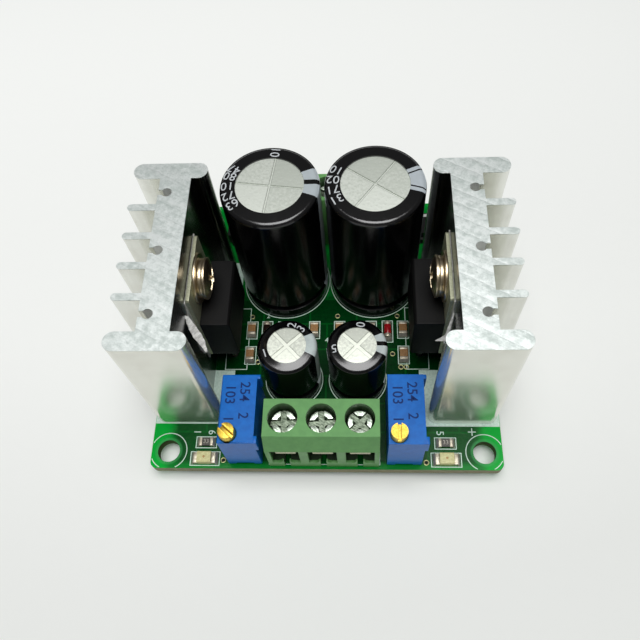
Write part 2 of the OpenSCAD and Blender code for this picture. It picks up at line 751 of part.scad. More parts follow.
module chip_capacitors() {
    spots = [[inner_chip_x, chip_y], [outer_chip_x, chip_y], [outer_chip_x, chip_y - chip_row_pitch]];
    color([0.62, 0.48, 0.36]) for (p = both(spots))
        chip(p.x, p.y, chip_length, chip_width, chip_cap_height);
}

module chip_resistors() {
    small_chip = [1.6, 0.8, 0.45];
    color([0.12, 0.12, 0.13]) {
        for (s = [left, right]) {
            chip(s*(outer_chip_x - resistor_pitch), chip_y, chip_length, chip_width, chip_res_height);
            translate([s*front_chip_x, front_chip_y, 0]) rotate(90)
                chip(0, 0, chip_length, chip_width, chip_res_height);
        }
        // A smaller one between the outer chip and the regulator's leads
        chip((outer_chip_x + chip_width/2 + lead_x - lead_thickness/2)/2, chip_y,
             small_chip.x, small_chip.y, small_chip.z);
    }
}

module indicator_leds() {
    base = 0.4;
    lens = [0.68*led_length, led_width];
    bevel = 0.15;
    color([0.93, 0.9, 0.66]) for (s = [left, right]) translate([s*front_chip_x, led_y, top]) {
        translate([-led_length/2, -led_width/2, 0]) cube([led_length, led_width, base]);
        rotate([90, 0, 0]) linear_extrude(lens.y, center = true)
            polygon([[-lens.x/2, base/2], [lens.x/2, base/2], [lens.x/2 - bevel, led_height],
                     [bevel - lens.x/2, led_height]]);
    }
}

module signal_diodes() {
    cap_length = 0.6;
    glass = 0.92*signal_d;
    color([0.55, 0.16, 0.1]) for (s = [left, right])
        translate([s*(outer_chip_x - signal_pitch), signal_y, top + signal_d/2]) rotate([90, 0, 0]) {
            cylinder(d = glass, h = signal_length - cap_length, center = true);
            for (end = [-1, 1]) translate([0, 0, end*(signal_length - cap_length)/2])
                cylinder(d = signal_d, h = cap_length, center = true);
        }
}

module rectifier_diodes() {
    lead = [1.4, rectifier_length + 0.9, 0.3];
    waist = rectifier_height*0.45;
    draft = 0.18;
    color([0.11, 0.11, 0.12]) for (s = [left, right], i = [0, 1])
        translate([s*(rectifier_x + i*rectifier_pitch), rectifier_y, top]) {
            extrude_x(rectifier_width)
                polygon([[draft - rectifier_length/2, lead.z/2], [rectifier_length/2 - draft, lead.z/2],
                         [rectifier_length/2, waist], [rectifier_length/2 - draft, rectifier_height],
                         [draft - rectifier_length/2, rectifier_height], [-rectifier_length/2, waist]]);
            extrude_x(lead.x) difference() {
                translate([-lead.y/2, 0]) square([lead.y, waist + lead.z/2]);
                translate([lead.z - lead.y/2, lead.z]) square([lead.y - 2*lead.z, waist - 1.5*lead.z]);
            }
        }
}

// A cone of solder under the board, cut round the lead that it holds
module solder_joints() {
    height = 0.6*(standoff - lead_lift);
    module cones(points, hole) {
        for (p = points) difference() {
            translate([p.x, p.y, standoff - height])
                cylinder(d1 = hole + pad_reach/2, d2 = hole + 2*pad_reach, h = height);
            translate([p.x, p.y, 0]) children();
        }
    }
    color([0.78, 0.79, 0.8]) {
        cones(sink_pin_points, sink_pin_hole) cylinder(d = channel_d, h = top);
        cones(regulator_points, regulator_hole)
            translate([-lead_thickness/2, -lead_width/2, 0]) cube([lead_thickness, lead_width, top]);
        cones(filter_points, filter_hole) cylinder(d = filter_lead, h = top);
        cones(output_points, output_hole) cylinder(d = output_lead, h = top);
        cones(trimmer_points, trimmer_hole) cylinder(d = trimmer_pin, h = top);
        cones(terminal_points, terminal_hole)
            translate([-terminal_pin/2, -bar_thickness/2, 0]) cube([terminal_pin, bar_thickness, top]);
    }
}

circuit_board();
heatsink(left);  // left_heatsink
heatsink(right);  // right_heatsink
heatsink_pins(left);  // left_heatsink_pins
heatsink_pins(right);  // right_heatsink_pins
regulator_body(left);  // left_regulator_body
regulator_body(right);  // right_regulator_body
regulator_tab(left);  // left_regulator_tab
regulator_tab(right);  // right_regulator_tab
regulator_leads(left);  // left_regulator_leads
regulator_leads(right);  // right_regulator_leads
mica_sheet(left);  // left_mica_sheet
mica_sheet(right);  // right_mica_sheet
regulator_screw(left);  // left_regulator_screw
regulator_screw(right);  // right_regulator_screw
spring_washer(left);  // left_spring_washer
spring_washer(right);  // right_spring_washer
flat_washer_ring(left);  // left_flat_washer
flat_washer_ring(right);  // right_flat_washer
capacitor_can(filter_place(left), filter_y, filter_d, filter_height, filter_disc, 0,  // left_filter_can
                  filter_vent, filter_vents[0]);
capacitor_can(filter_place(right), filter_y, filter_d, filter_height, filter_disc, 0,  // right_filter_can
                  filter_vent, filter_vents[1]);
capacitor_sleeve(filter_place(left), filter_y, filter_d, filter_height, filter_disc, 0);  // left_filter_sleeve
capacitor_sleeve(filter_place(right), filter_y, filter_d, filter_height, filter_disc, 0);  // right_filter_sleeve
capacitor_leads(filter_place(left), filter_y, filter_lead_pitch, filter_lead);  // left_filter_leads
capacitor_leads(filter_place(right), filter_y, filter_lead_pitch, filter_lead);  // right_filter_leads
capacitor_can(-output_x, output_y, output_d, output_height, output_disc, rim_fall,  // left_output_can
                  output_vent, output_vents[0]);
capacitor_can(output_x, output_y, output_d, output_height, output_disc, rim_fall,  // right_output_can
                  output_vent, output_vents[1]);
capacitor_sleeve(-output_x, output_y, output_d, output_height, output_disc, rim_fall);  // left_output_sleeve
capacitor_sleeve(output_x, output_y, output_d, output_height, output_disc, rim_fall);  // right_output_sleeve
capacitor_leads(-output_x, output_y, output_lead_pitch, output_lead);  // left_output_leads
capacitor_leads(output_x, output_y, output_lead_pitch, output_lead);  // right_output_leads
trimmer_body(left);  // left_trimmer_body
trimmer_body(right);  // right_trimmer_body
trimmer_screw(left, slot_turns[0]);  // left_trimmer_screw
trimmer_screw(right, slot_turns[1]);  // right_trimmer_screw
trimmer_pins(left);  // left_trimmer_pins
trimmer_pins(right);  // right_trimmer_pins
terminal_housing(output_turn);  // output_terminal_housing
clamp_screw(output_turn, 1, output_cross[0]);  // output_screw_1
clamp_screw(output_turn, 2, output_cross[1]);  // output_screw_2
clamp_screw(output_turn, 3, output_cross[2]);  // output_screw_3
clamp_cage(output_turn, 1);  // output_cage_1
clamp_cage(output_turn, 2);  // output_cage_2
clamp_cage(output_turn, 3);  // output_cage_3
terminal_contacts(output_turn);  // output_contacts
terminal_housing(input_turn);  // input_terminal_housing
clamp_screw(input_turn, 1, input_cross[0]);  // input_screw_1
clamp_screw(input_turn, 2, input_cross[1]);  // input_screw_2
clamp_screw(input_turn, 3, input_cross[2]);  // input_screw_3
clamp_cage(input_turn, 1);  // input_cage_1
clamp_cage(input_turn, 2);  // input_cage_2
clamp_cage(input_turn, 3);  // input_cage_3
terminal_contacts(input_turn);  // input_contacts
chip_capacitors();
chip_resistors();
indicator_leds();
signal_diodes();
rectifier_diodes();
solder_joints();
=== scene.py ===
# %% [markdown]
# # A rectifier filter board, dressed in Blender
# The CAD model gives every part its size and place, and MuJoCo moves the same parts. This lesson keeps that
# frame as it is and adds what a CAD model leaves out: softened edges, solder, print and finishes. Everything
# is in metres with +Z up, the board's front edge faces -Y, and the solder pins stand on z = 0.

# %% Load the frame
import math

import bpy
from mathutils import Matrix, Vector


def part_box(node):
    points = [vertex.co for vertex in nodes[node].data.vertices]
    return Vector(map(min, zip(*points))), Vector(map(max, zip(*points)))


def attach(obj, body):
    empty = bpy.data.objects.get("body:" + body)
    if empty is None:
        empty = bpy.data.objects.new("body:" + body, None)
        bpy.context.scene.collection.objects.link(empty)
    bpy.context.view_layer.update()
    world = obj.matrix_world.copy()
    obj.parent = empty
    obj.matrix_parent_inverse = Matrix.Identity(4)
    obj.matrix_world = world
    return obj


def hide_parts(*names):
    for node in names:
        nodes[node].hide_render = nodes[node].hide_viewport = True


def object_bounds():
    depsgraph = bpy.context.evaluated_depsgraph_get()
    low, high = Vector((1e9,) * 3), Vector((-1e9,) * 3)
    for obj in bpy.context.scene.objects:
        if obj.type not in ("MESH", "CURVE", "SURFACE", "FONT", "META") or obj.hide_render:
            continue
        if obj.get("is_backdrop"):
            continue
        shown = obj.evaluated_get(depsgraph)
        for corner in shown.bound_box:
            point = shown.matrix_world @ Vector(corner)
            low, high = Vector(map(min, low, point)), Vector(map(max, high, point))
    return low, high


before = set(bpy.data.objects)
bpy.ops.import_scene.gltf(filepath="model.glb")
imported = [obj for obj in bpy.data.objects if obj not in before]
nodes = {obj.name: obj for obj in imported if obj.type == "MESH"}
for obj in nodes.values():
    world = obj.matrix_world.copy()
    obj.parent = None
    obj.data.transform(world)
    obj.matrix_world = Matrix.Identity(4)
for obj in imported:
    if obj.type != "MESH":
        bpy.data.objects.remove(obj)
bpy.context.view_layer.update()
MM = 0.001
SIDES, ENDS = ("left", "right"), ("output", "input")
BODY = "board_assembly"
board_low, board_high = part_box("circuit_board")
TOP = board_high.z

# %% [markdown]
# ## Camera
# The photograph looks down on the board from the front, a little from the left, with the camera slightly
# rolled. Known sizes on the board, such as the spacing of the terminal screws, fixed the camera's place and
# its three turns, so the render can be laid over the photograph.

# %% Camera
IMAGE_SIDE, FOCAL_PIXELS, SENSOR, NEAR_CLIP = 640, 675.8, 36, 0.002
camera_place = Vector((5.376, -48.43, 97.367)) * MM
elevation, yaw, roll = (math.radians(turn) for turn in (62.154, -7.564, -7.046))

forward = Vector((math.sin(yaw) * math.cos(elevation), math.cos(yaw) * math.cos(elevation),
                  -math.sin(elevation)))
level = Vector((math.cos(yaw), -math.sin(yaw), 0))
upright = level.cross(forward)
right = math.cos(roll) * level + math.sin(roll) * upright
up = math.cos(roll) * upright - math.sin(roll) * level


def added(add, **settings):
    """A new object by one of Blender's add operators, with nothing else selected."""
    bpy.ops.object.select_all(action="DESELECT")
    add(**settings)
    return bpy.context.object


camera = added(bpy.ops.object.camera_add, location=camera_place)
camera.rotation_mode = "QUATERNION"
camera.rotation_quaternion = Matrix((right, up, -forward)).transposed().to_quaternion()
camera.data.sensor_width = SENSOR
camera.data.lens = FOCAL_PIXELS / IMAGE_SIDE * SENSOR
camera.data.clip_start = NEAR_CLIP
bpy.context.scene.camera = camera
bpy.context.scene.view_settings.view_transform = "Standard"
print("camera:", round(camera.data.lens, 1), "mm lens,", round(camera_place.length / MM),
      "mm from the origin")

# %% [markdown]
# ## Shader expressions
# A finish is easier to read as a formula than as a list of nodes and links. The class below wraps one socket.
# Adding, multiplying or comparing such values adds the Math node for it, also when a plain number stands on
# the left, and one method makes any other node. Colours are written as they look on screen, from 0 to 255, and
# become linear where they are mixed. Most finishes here are two tones that drift into each other over a noise,
# so one function makes those.

# %% A value in a material
class Wire:
    """One output of a node, which Python's operators build on."""

    def __init__(self, tree, socket=None):
        self.tree, self.socket = tree, socket

    def node(self, kind, settings=None, sockets=None, output=0):
        made = self.tree.nodes.new("ShaderNode" + kind)
        for name, value in (settings or {}).items():
            setattr(made, name, value)
        for name, value in (sockets or {}).items():
            if isinstance(value, Wire):
                self.tree.links.new(value.socket, made.inputs[name])
            else:
                made.inputs[name].default_value = value
        return Wire(self.tree, made.outputs[output])

    def maths(self, operation, *values):
        return self.node("Math", {"operation": operation}, dict(enumerate(values)))

    def operator(operation):
        return lambda self, other: self.maths(operation, self, other)

    __add__ = __radd__ = operator("ADD")
    __mul__ = __rmul__ = operator("MULTIPLY")
    __sub__, __truediv__, __mod__ = operator("SUBTRACT"), operator("DIVIDE"), operator("FLOORED_MODULO")
    __lt__, __gt__ = operator("LESS_THAN"), operator("GREATER_THAN")
    most, least = operator("MAXIMUM"), operator("MINIMUM")

    def __rsub__(self, other):
        return self.maths("SUBTRACT", other, self)

    def __abs__(self):
        return self.maths("ABSOLUTE", self)

    def away(self, other):
        """The distance from where both values are 0."""
        square = self * self + other * other
        return square.maths("SQRT", square)

    def rise(self, low, high):
        """A smooth step from 0 at low to 1 at high."""
        return self.node("MapRange", {"interpolation_type": "SMOOTHSTEP"}, {0: self, 1: low, 2: high})

    def mix(self, first, second):
        """The first colour where this value is 0 and the second where it is 1."""
        first, second = (part if isinstance(part, Wire) else tone(*part) for part in (first, second))
        return self.node("Mix", {"data_type": "RGBA"}, {0: self, 6: first, 7: second}, output=2)

    def split(self):
        made = self.node("SeparateXYZ", sockets={0: self})
        return [Wire(self.tree, made.socket.node.outputs[axis]) for axis in "XYZ"]

    def noise(self, scale, detail=2.0, roughness=0.5):
        return self.node("TexNoise", sockets={
            "Vector": self, "Scale": scale, "Detail": detail, "Roughness": roughness})

    def stretch(self, scale, turn=(0, 0, 0)):
        """Coordinates turned and then scaled, so that a noise on them becomes streaks."""
        turned = self.node("Mapping", sockets={"Vector": self, "Rotation": turn})
        return turned.node("Mapping", sockets={"Vector": turned, "Scale": scale})


def tone(red, green, blue):
    """A colour given as 0 to 255 on screen, in the linear values that shaders work with."""
    def linear(part):
        part /= 255
        return part / 12.92 if part < 0.04045 else ((part + 0.055) / 1.055) ** 2.4
    return (linear(red), linear(green), linear(blue), 1)


def new_finish(name):
    """A new material, and the place on the piece in millimetres."""
    material = bpy.data.materials.new(name)
    material.use_nodes = True
    metres = Wire(material.node_tree).node("TexCoord", output="Object")
    place = metres.node("VectorMath", {"operation": "SCALE"}, {0: metres, "Scale": 1 / MM})
    return material, place


def lay_finish(material, looks, height=None, depth=0.01):
    """Sets the shader's sockets, with a height of 0 to 1 as relief of a depth in millimetres."""
    tree = material.node_tree
    shader = tree.nodes["Principled BSDF"]
    if height is not None:
        looks = {**looks, "Normal": height.node("Bump", sockets={"Height": height, "Distance": depth * MM})}
    for name, value in looks.items():
        if isinstance(value, Wire):
            tree.links.new(value.socket, shader.inputs[name])
        else:
            shader.inputs[name].default_value = value
    print("    finish", material.name)
    return material


def plain_finish(name, pale, dark, rough, grain=6.0, relief=0.01, detail=(3, 0.6), span=(0.3, 0.7), vary=0.15,
                 streaks=None, specular=0.5, **looks):
    """A finish that drifts between two tones over a noise, which streaks can turn and stretch."""
    material, place = new_finish(name)
    cloud = (place.stretch(*streaks) if streaks else place).noise(grain, *detail)
    shade = cloud.rise(*span) if span else cloud
    return lay_finish(material, {
        "Base Color": shade.mix(pale, dark), "Specular IOR Level": specular,
        "Roughness": cloud * vary + rough if vary else rough, **looks}, cloud if relief else None, relief)


print("tones render as they are written: mid grey", [round(part, 3) for part in tone(128, 128, 128)])

# %% [markdown]
# ## Stage
# The photograph was taken on white paper under one lamp overhead, in an otherwise dark room. That is why level
# black rims stay black while rough aluminium turns nearly white. So one square softbox hangs above the board,
# a little towards the front, and the sky is dim, though the camera sees it as white. A faint glow that only
# the camera and mirrors see lifts the paper, most towards the rear and the left, and leaves the shadow alone.

# %% Floor
PAPER, PAPER_SPECK = (236, 238, 235), (239, 241, 238)
GLOW_NEAR, GLOW_FAR, GLOW_SIDE, GLOW_SIDE_MOST = 0.1, 0.06, 0.0006, 0.05
GLOW_NEAR_Y, GLOW_FAR_Y = (-50, 10), (0, 75)
FLOOR_SIZE, FLOOR_DROP = 6, 0.02


def paper_finish():
    material, place = new_finish("paper")
    x, y = place.split()[:2]
    speck = place.noise(0.4, 3)
    rays = [place.node("LightPath", output=kind) for kind in
            ("Is Camera Ray", "Is Glossy Ray", "Is Transmission Ray")]
    seen = rays[0].most(rays[1]).most(rays[2])
    side = (x * GLOW_SIDE).least(GLOW_SIDE_MOST)
    lift = y.rise(*GLOW_NEAR_Y) * GLOW_NEAR + y.rise(*GLOW_FAR_Y) * GLOW_FAR - side
    return lay_finish(material, {
        "Base Color": (speck * 0.3 + 0.35).mix(PAPER, PAPER_SPECK), "Roughness": 0.9,
        "Specular IOR Level": 0.1, "Emission Color": seen * lift.most(0.0), "Emission Strength": 1.0})


floor = added(bpy.ops.mesh.primitive_plane_add, size=FLOOR_SIZE, location=(0, 0, -FLOOR_DROP * MM))
floor.name = "floor"
floor.data.materials.append(paper_finish())
floor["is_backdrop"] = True
print("floor:", round(floor.dimensions.x, 1), "m across")

# %% Lamp and sky
SKY = 0.12
LAMP_PLACE, LAMP_SIZE, LAMP_POWER = (0.02, -0.04, 0.5), 0.315, 2.2
lamp = added(bpy.ops.object.light_add, type="AREA", location=LAMP_PLACE)
lamp.name = "softbox_overhead"
lamp.data.size, lamp.data.energy = LAMP_SIZE, LAMP_POWER

world = bpy.context.scene.world or bpy.data.worlds.new("sky")
bpy.context.scene.world = world
world.use_nodes = True
background = world.node_tree.nodes["Background"]
strength = Wire(world.node_tree).node("LightPath", output="Is Camera Ray") * (1 - SKY) + SKY
world.node_tree.links.new(strength.socket, background.inputs["Strength"])
background.inputs["Color"].default_value = (1, 1, 1, 1)
print("lamp:", LAMP_POWER, "W,", LAMP_SIZE, "m square; sky:", SKY)

# %% [markdown]
# ## Modelling helpers
# Operators act on whatever is selected, so each helper first selects one piece alone. A CAD mesh is loose
# triangles: a copy of it is merged, its flat faces are dissolved back to single faces, and its edges get the
# small radius that every moulded, sawn or stamped part has. Weighted normals keep the flats flat.

# %% Selecting and finishing a piece
MERGE_GAP, FLAT_TURN, SMOOTH_TURN = 0.0005, 0.3, 40


def take(piece):
    """Selects one piece alone."""
    bpy.ops.object.select_all(action="DESELECT")
    piece.select_set(True)
    bpy.context.view_layer.objects.active = piece
    return piece


def edit(piece, *steps):
    """Runs steps in edit mode on all of a piece."""
    take(piece)
    bpy.ops.object.mode_set(mode="EDIT")
    bpy.ops.mesh.select_all(action="SELECT")
    for step in steps:
        step()
    bpy.ops.object.mode_set(mode="OBJECT")
    return piece


def weld():
    """Merges the selected points that lie together."""
    bpy.ops.mesh.remove_doubles(threshold=MERGE_GAP * MM)


def clear_flats():
    """Dissolves the edges inside flat faces."""
    bpy.ops.mesh.dissolve_limited(angle_limit=math.radians(FLAT_TURN))


def modify(piece, kind, **settings):
    """Adds a modifier and applies it."""
    take(piece)
    modifier = piece.modifiers.new(kind, kind)
    for name, value in settings.items():
        setattr(modifier, name, value)
    bpy.ops.object.modifier_apply(modifier=modifier.name)
    return piece


def polish(piece, angle=SMOOTH_TURN):
    """Smooth shading up to an angle, with the large flats kept flat."""
    take(piece)
    bpy.ops.object.shade_smooth_by_angle(angle=math.radians(angle))
    return modify(piece, "WEIGHTED_NORMAL", keep_sharp=True)


def settle(piece):
    """Moves a piece's place and turn into its mesh."""
    take(piece)
    bpy.ops.object.transform_apply(location=True, rotation=True, scale=True)
    return piece


def join(name, pieces):
    take(pieces[0])
    for piece in pieces:
        piece.select_set(True)
    bpy.ops.object.join()
    pieces[0].name = name
    return pieces[0]


def merged(node, name, whole_faces=True):
    """A merged copy of a CAD node's mesh as a new piece."""
    piece = bpy.data.objects.new(name, nodes[node].data.copy())
    bpy.context.scene.collection.objects.link(piece)
    take(piece)
    bpy.ops.mesh.customdata_custom_splitnormals_clear()
    edit(piece, weld)
    if whole_faces:
        edit(piece, clear_flats)
    return piece


def spots(node):
    """The boxes of a node's separate solids, measured on a copy."""
    take(merged(node, "spot"))
    bpy.ops.mesh.separate(type="LOOSE")
    boxes = []
    for solid in bpy.context.selected_objects:
        corners = [vertex.co for vertex in solid.data.vertices]
        boxes.append((Vector(map(min, zip(*corners))), Vector(map(max, zip(*corners)))))
    bpy.ops.object.delete()
    return sorted(boxes, key=lambda box: tuple(round(part, 5) for part in box[0]))


def keep(piece, finish, body=BODY, stands_for=()):
    """Gives a finished piece its material, its body and the CAD nodes that it stands for."""
    piece.data.materials.clear()
    piece.data.materials.append(finish)
    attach(piece, body)
    if stands_for:
        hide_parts(*stands_for)
    print("   ", piece.name, len(piece.data.polygons), "faces")
    return piece


print("helpers ready; the node circuit_board holds", len(spots("circuit_board")), "solid")

# %% [markdown]
# ## Circuit board
# The board is woven laminate under a glossy green mask. Copper below the mask shows as a lighter, warmer green:
# pours that fade in towards the two short sides, a margin along the front and rear edges, and thin tracks. The
# pours and the margin also carry painted light: the sides, away from the tall parts, are painted lighter as if
# less shaded, and the edges get a painted glow. The bare green is painted darker in the middle, as painted
# shade between the tall parts, and is lighter over the rear. A lighter green ring lies round each mounting
# hole. The
# cut edges are bare: pale laminate with its layers of cloth, and olive inside the holes. The mask is a thin
# skin, so the shader reads the height, and the CAD board itself can stay.

# %% Board finish
MASK_COPPER, MASK_BARE, MASK_MIDDLE_SHADE = (4, 172, 56), (0, 66, 22), (0, 34, 12)
MASK_REAR, MASK_RIM, HOLE_WALL = (2, 110, 36), (64, 160, 88), (64, 84, 34)
LAMINATE_PALE, LAMINATE_DARK = (166, 162, 132), (118, 114, 90)
MASK_SKIN = 0.05
MOUNT_X, MOUNT_Y, MOUNT_RADIUS = 22.5, 20.5, 1.6
POUR_X, MARGIN_Y, MIDDLE_Y, REAR_Y, FADE = 22.0, 22.0, 14.0, 5.0, 2.0
MARGIN_SHARE, TRACK_SHARE, RIM_SHARE = 0.4, 0.12, 0.6


def board_finish():
    material, place = new_finish("solder_mask")
    x, y, z = place.split()
    warp = place.noise(0.3, 2)
    # Copper pours, also painted light: the two short sides are painted lighter, as if less shaded by tall
    # parts.
    pour_and_light = (abs(x) + warp * 1.6).rise(POUR_X, POUR_X + FADE)
    # Copper margin along the front and rear edges, also a painted glow of the edges.
    margin_and_glow = (abs(y) + warp * 0.6).rise(MARGIN_Y, MARGIN_Y + 0.9)
    tracks = place.node("TexBrick", {"offset": 0.37, "squash": 1.0}, {
        "Vector": place, "Scale": 1.0, "Mortar Size": 0.16, "Mortar Smooth": 0.3, "Brick Width": 7.3,
        "Row Height": 4.4}, output="Fac")
    copper_and_light = pour_and_light.most(margin_and_glow * MARGIN_SHARE).most(tracks * TRACK_SHARE)
    weave = place.stretch((2.2, 2.2, 2.2)).noise(1.0, 2)
    # Painted shade: the bare green is darker in the middle, between the tall parts.
    bare = (abs(y) + warp * 2).rise(MIDDLE_Y, MIDDLE_Y + FADE).mix(MASK_MIDDLE_SHADE, MASK_BARE)
    bare = (y + warp * 2).rise(REAR_Y, REAR_Y + FADE).mix(bare, MASK_REAR)
    green = (copper_and_light * 0.9 + weave * 0.1).mix(bare, MASK_COPPER)
    from_hole = (abs(x) - MOUNT_X).away(abs(y) - MOUNT_Y)
    rim = 1 - from_hole.rise(MOUNT_RADIUS + 0.15, MOUNT_RADIUS + 0.55)
    green = (rim * RIM_SHARE).mix(green, MASK_RIM)
    cloth = place.stretch((0.9, 0.9, 7.0)).noise(1.0, 4, 0.7)
    laminate = cloth.rise(0.25, 0.75).mix(LAMINATE_PALE, LAMINATE_DARK)
    laminate = (from_hole < MOUNT_RADIUS + 0.1).mix(laminate, HOLE_WALL)
    inside = (z < TOP / MM - MASK_SKIN) * (z > board_low.z / MM + MASK_SKIN)
    return lay_finish(material, {
        "Base Color": inside.mix(green, laminate), "Specular IOR Level": 0.1,
        "Roughness": inside * 0.5 + (weave * 0.1 + 0.16)},
        copper_and_light * 0.6 + weave * 0.4 * (1 - inside) + inside * cloth, 0.03)


nodes["circuit_board"].material_slots[0].material = board_finish()
print("board:", [round(size / MM, 1) for size in board_high - board_low], "mm")

# %% [markdown]
# ## Print on the board
# White ink marks each part's outline. Every outline starts as a plane or a disc that is inset and loses its
# middle, so that only a thin frame is left, and is then drawn up to the thickness of a coat of ink. The rings
# round the mounting holes are wider than the room beside the holes, so the board's edges cut them.

# %% Ink
INK_WIDTH, INK_COAT, RING_SIDES = 0.12, 0.025, 96
ink_pieces = []
ink = plain_finish("ink", (218, 240, 226), (190, 218, 202), 0.5, 3.0, 0.004, span=(0.3, 0.75), vary=0)


def figure(words, place, size, turn=(0, 0, 0), coat=0.02, weight=0.0):
    """Plain signs and numbers as a thin coat of ink, made a mesh before their place is applied."""
    sign = added(bpy.ops.object.text_add, location=place, rotation=[math.radians(part) for part in turn])
    sign.data.body, sign.data.size, sign.data.extrude = words, size * MM, coat * MM
    sign.data.offset = weight * MM
    sign.data.align_x = sign.data.align_y = "CENTER"
    bpy.ops.object.convert(target="MESH")
    settle(sign)
    return edit(sign, weld)


def face_out():
    """Turns the selected faces outwards."""
    bpy.ops.mesh.normals_make_consistent(inside=False)


def raise_ink(sheet, hollow=True):
    """Turns a flat sheet into a frame of ink and gives it its coat."""
    settle(sheet)
    bpy.ops.object.mode_set(mode="EDIT")
    bpy.ops.mesh.select_mode(type="FACE")
    bpy.ops.mesh.select_all(action="SELECT")
    if hollow:
        bpy.ops.mesh.inset(thickness=INK_WIDTH * MM)
        bpy.ops.mesh.delete(type="FACE")
        bpy.ops.mesh.select_all(action="SELECT")
    bpy.ops.mesh.extrude_region_move(TRANSFORM_OT_translate={"value": (0, 0, INK_COAT * MM)})
    bpy.ops.mesh.select_all(action="SELECT")
    face_out()
    bpy.ops.object.mode_set(mode="OBJECT")
    ink_pieces.append(sheet)
    return sheet


def ink_box(low, high, hollow=True):
    """A printed rectangle between two corners in millimetres."""
    x, y = ((first + last) / 2 * MM for first, last in zip(low, high))
    sheet = added(bpy.ops.mesh.primitive_plane_add, size=1, location=(x, y, TOP))
    sheet.scale = ((high[0] - low[0]) * MM, (high[1] - low[1]) * MM, 1)
    return raise_ink(sheet, hollow)


def ink_ring(x, y, radius):
    return raise_ink(added(
        bpy.ops.mesh.primitive_circle_add, vertices=RING_SIDES, radius=radius * MM, fill_type="NGON",
        location=(x * MM, y * MM, TOP)))


def trim(sheet, place, way):
    """Cuts off what lies beyond a plane and closes the cut."""
    return edit(sheet, lambda: bpy.ops.mesh.bisect(
        plane_co=place, plane_no=way, use_fill=True, clear_outer=True))


# %% Outlines of the parts
RING_ROOM, MOUNT_RING, EDGE_ROOM = 0.12, 2.68, 0.15
CHIP_ROOM, CHIP_END_ROOM, BLOCK_ROOM = 0.25, 0.55, 0.2


def lengthwise(low, high):
    """The axis that a chip lies along."""
    return 0 if high.x - low.x > high.y - low.y else 1


def middle(node):
    low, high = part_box(node)
    return (low + high) / 2 / MM


for side in SIDES:
    for part in ("filter", "output"):
        spot = middle(f"{side}_{part}_sleeve")
        low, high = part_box(f"{side}_{part}_sleeve")
        ink_ring(spot.x, spot.y, (high.x - low.x) / 2 / MM + RING_ROOM + INK_WIDTH)
for sign_x in (-1, 1):
    for sign_y in (-1, 1):
        ring = ink_ring(sign_x * MOUNT_X, sign_y * MOUNT_Y, MOUNT_RING)
        trim(ring, (sign_x * (board_high.x - EDGE_ROOM * MM), 0, 0), (sign_x, 0, 0))
        trim(ring, (0, sign_y * (board_high.y - EDGE_ROOM * MM), 0), (0, sign_y, 0))
for node in ("chip_capacitors", "chip_resistors", "signal_diodes", "indicator_leds"):
    for low, high in spots(node):
        room = [CHIP_ROOM, CHIP_ROOM]
        room[lengthwise(low, high)] = CHIP_END_ROOM
        front = max(low.y / MM - room[1], board_low.y / MM + EDGE_ROOM)
        ink_box((low.x / MM - room[0], front), (high.x / MM + room[0], high.y / MM + room[1]))
for end in ENDS:
    low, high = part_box(f"{end}_terminal_housing")
    ink_box((low.x / MM - BLOCK_ROOM, low.y / MM + BLOCK_ROOM),
            (high.x / MM + BLOCK_ROOM, high.y / MM - BLOCK_ROOM))
print(len(ink_pieces), "outlines")

# %% Heatsink footprints and signs
FOOT_MARGIN = {"left": 0.12, "right": 0.45}
FOOT_REACH, FOOT_EDGE, FOOT_ROOM = 0.9, 0.05, 0.3
FRAME_ROOM, FRAME_REACH = 0.2, 1.6
BARS = (((-19.1, -17.72), (-18.1, -17.58)), ((20.4, -17.57), (21.5, -17.43)),
        ((20.88, -18.05), (21.02, -16.95)))
NUMBERS = (("6", -16.5, -17.7, 1.5, -90), ("5", 16.4, -17.7, 1.5, -90), ("3", 0, -13.7, 1.1, 0),
           ("4", 0, -2.9, 1.2, 0), ("2", -9.3, 1.4, 1.1, 0), ("8", 13.6, 1.4, 1.1, 0))
for side, way in zip(SIDES, (-1, 1)):
    low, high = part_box(f"{side}_heatsink")
    inner = min(abs(low.x), abs(high.x)) / MM - FOOT_REACH
    outer = board_high.x / MM - FOOT_EDGE
    front, rear = low.y / MM - FOOT_MARGIN[side], high.y / MM + FOOT_MARGIN[side]
    body_low, body_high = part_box(f"{side}_regulator_body")
    ink_box(*sorted(((way * inner, front), (way * outer, body_low.y / MM - FOOT_ROOM))), hollow=False)
    ink_box(*sorted(((way * inner, body_high.y / MM + FOOT_ROOM), (way * outer, rear))), hollow=False)
    face = min(abs(body_low.x), abs(body_high.x)) / MM
    ink_box(*sorted(((way * (face - FRAME_ROOM), body_low.y / MM - FRAME_ROOM),
                     (way * (inner + FRAME_REACH), body_high.y / MM + FRAME_ROOM))))
for low, high in BARS:
    ink_box(low, high, hollow=False)
for words, x, y, size, turn in NUMBERS:
    place = Vector((x * MM, y * MM, TOP + INK_COAT / 2 * MM))
    ink_pieces.append(figure(words, place, size, (0, 0, turn), INK_COAT / 2))
keep(join("board_print", ink_pieces), ink)

# %% [markdown]
# ## Vias
# A via is a drilled hole whose copper ring joins both faces of the board. The ring is plated and shines like
# brass, the hole looks black. A flattened torus makes the ring, and a small dark disc inside it the hole.
# Both are made once and copied to each place.

# %% Rods and copies
BEVEL_TURN, BEVEL_STEPS, ROD_SIDES = 35, 2, 32


def soften(piece, edge):
    """Rounds the edges of a piece's corners."""
    return modify(piece, "BEVEL", width=edge * MM, segments=BEVEL_STEPS, limit_method="ANGLE",
                  angle_limit=math.radians(BEVEL_TURN), miter_outer="MITER_ARC")


